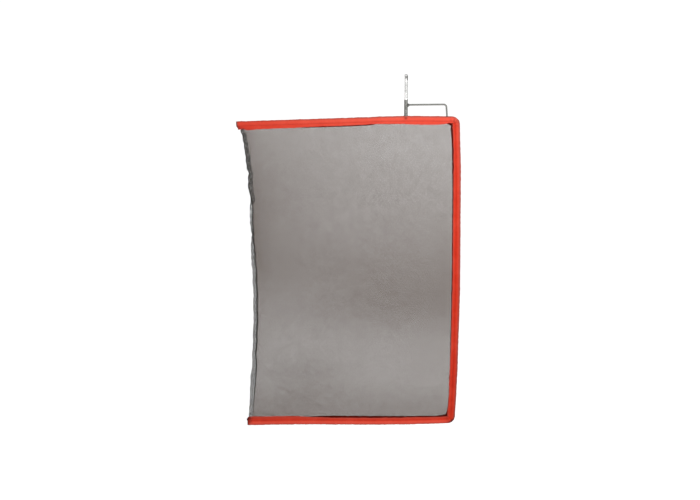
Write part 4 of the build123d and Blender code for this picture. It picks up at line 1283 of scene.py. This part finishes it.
arm_z = at(0, -3.6)[1]
dress(weld_ring("weld_bead_pin", "weld_pin_to_arm", (0, 0, arm_z + 1.0), (0, 0, 1),
                [(0.2, 6.0), (1.6, 6.1), (3.2, 5.8), (4.6, 5.25), (5.4, 4.95)], 611), WELD)
foot_z = at(0, -5.05)[1]
dress(weld_ring("weld_bead_brace_foot", "weld_brace_to_arm", (FOOT_X - 0.3, 0, foot_z + 1.6), (0, 0, 1),
                [(0.2, 3.6), (1.6, 3.7), (3.2, 3.2), (4.4, 2.5)], 631, ripples=11), WELD)
brace_z = at(0, 32.75)[1]
dress(weld_ring("weld_bead_brace", "weld_brace_to_pin", (3.4, 0, brace_z - 1.0), (1, 0, 0.14),
                [(0.0, 4.8), (1.8, 5.1), (3.2, 4.2), (4.8, 3.1), (6.4, 2.46)], 641, ripples=9), WELD)

for node, mat in (("frame_rod", STEEL), ("mounting_pin", PIN), ("brace_rod", BRACE),
                  ("rod_tip_cap_upper", VINYL), ("rod_tip_cap_lower", VINYL)):
    dress(NODES[node], mat)

# ------------------------------------------------------------------ stage, lights, camera
scene = bpy.context.scene
scene.view_settings.view_transform = "Standard"
scene.view_settings.look = "None"
scene.cycles.use_denoising = True
scene.cycles.transparent_max_bounces = 16

floor_z = CAD_BOX[0][2] - 0.55
bpy.ops.mesh.primitive_plane_add(size=80, location=(0, 18, floor_z))
floor = bpy.context.object
floor.name = "studio_floor"
dress(floor, floor_mat())
floor.visible_diffuse = False

world = bpy.data.worlds.new("studio")
scene.world = world
world.use_nodes = True
world.node_tree.nodes["Background"].inputs[0].default_value = (1.0, 1.0, 1.0, 1.0)
world.node_tree.nodes["Background"].inputs[1].default_value = 0.36


def area(name, location, target, size, power, color=(1, 1, 1), size_y=None):
    light = bpy.data.lights.new(name, "AREA")
    light.shape = "RECTANGLE"
    light.size = size
    light.size_y = size_y or size
    light.energy = power
    light.color = color
    ob = bpy.data.objects.new(name, light)
    scene.collection.objects.link(ob)
    ob.location = location
    ob.rotation_euler = (Vector(target) - Vector(location)).to_track_quat("-Z", "Y").to_euler()
    return ob


area("key", (0.50, -1.60, 0.20), (0.02, 0, -0.22), 0.55, 25, size_y=0.45)


back_fill = area("back_fill", (-0.35, 2.4, -0.30), (-0.15, 0, -0.45), 1.0, 14, size_y=1.0)
back_fill.data.spread = math.radians(60)
for flag in ("visible_camera", "visible_glossy", "visible_transmission"):
    setattr(back_fill, flag, False)


def card(name, corners):
    me = bpy.data.meshes.new(name)
    me.from_pydata(corners, [], [(0, 1, 2, 3)])
    ob = bpy.data.objects.new(name, me)
    scene.collection.objects.link(ob)
    black = bpy.data.materials.get("studio_card") or bpy.data.materials.new("studio_card")
    black.use_nodes = True
    black.node_tree.nodes["Principled BSDF"].inputs["Base Color"].default_value = (0.01, 0.01, 0.01, 1)
    black.node_tree.nodes["Principled BSDF"].inputs["Specular IOR Level"].default_value = 0.0
    me.materials.append(black)
    for flag in ("visible_camera", "visible_diffuse", "visible_shadow", "visible_transmission"):
        setattr(ob, flag, False)
    return ob


card("card_right", [(1.3, 0.60, -1.5), (1.3, 3.0, -1.5), (1.3, 3.0, 0.6), (1.3, 0.60, 0.6)])
card("card_left", [(-1.7, 2.1, -1.5), (-1.7, 3.0, -1.5), (-1.7, 3.0, 0.6), (-1.7, 2.1, 0.6)])

az, el, roll = math.radians(0.694), math.radians(17.722), math.radians(-0.419)
back = Vector((math.sin(az) * math.cos(el), -math.cos(az) * math.cos(el), math.sin(el)))
right = Vector((math.cos(az), math.sin(az), 0))
up = back.cross(right).normalized()
r_axis = right * math.cos(roll) + up * math.sin(roll)
u_axis = -right * math.sin(roll) + up * math.cos(roll)
aim = Vector((*(at(-304.022, 0)[:1] * MM), 0.0, at(0, -380.171)[1] * MM))
cam = bpy.data.cameras.new("camera")
cam.sensor_width = 36.0
cam.lens = 36.0 * 1312.0 / 700.0
cam.clip_end = 200.0
cam_ob = bpy.data.objects.new("camera", cam)
scene.collection.objects.link(cam_ob)
m = Matrix.Identity(4)
for i in range(3):
    m[i][0], m[i][1], m[i][2] = r_axis[i], u_axis[i], back[i]
    m[i][3] = (aim + back * 3.687987)[i]
cam_ob.matrix_world = m
scene.camera = cam_ob

bpy.context.view_layer.update()
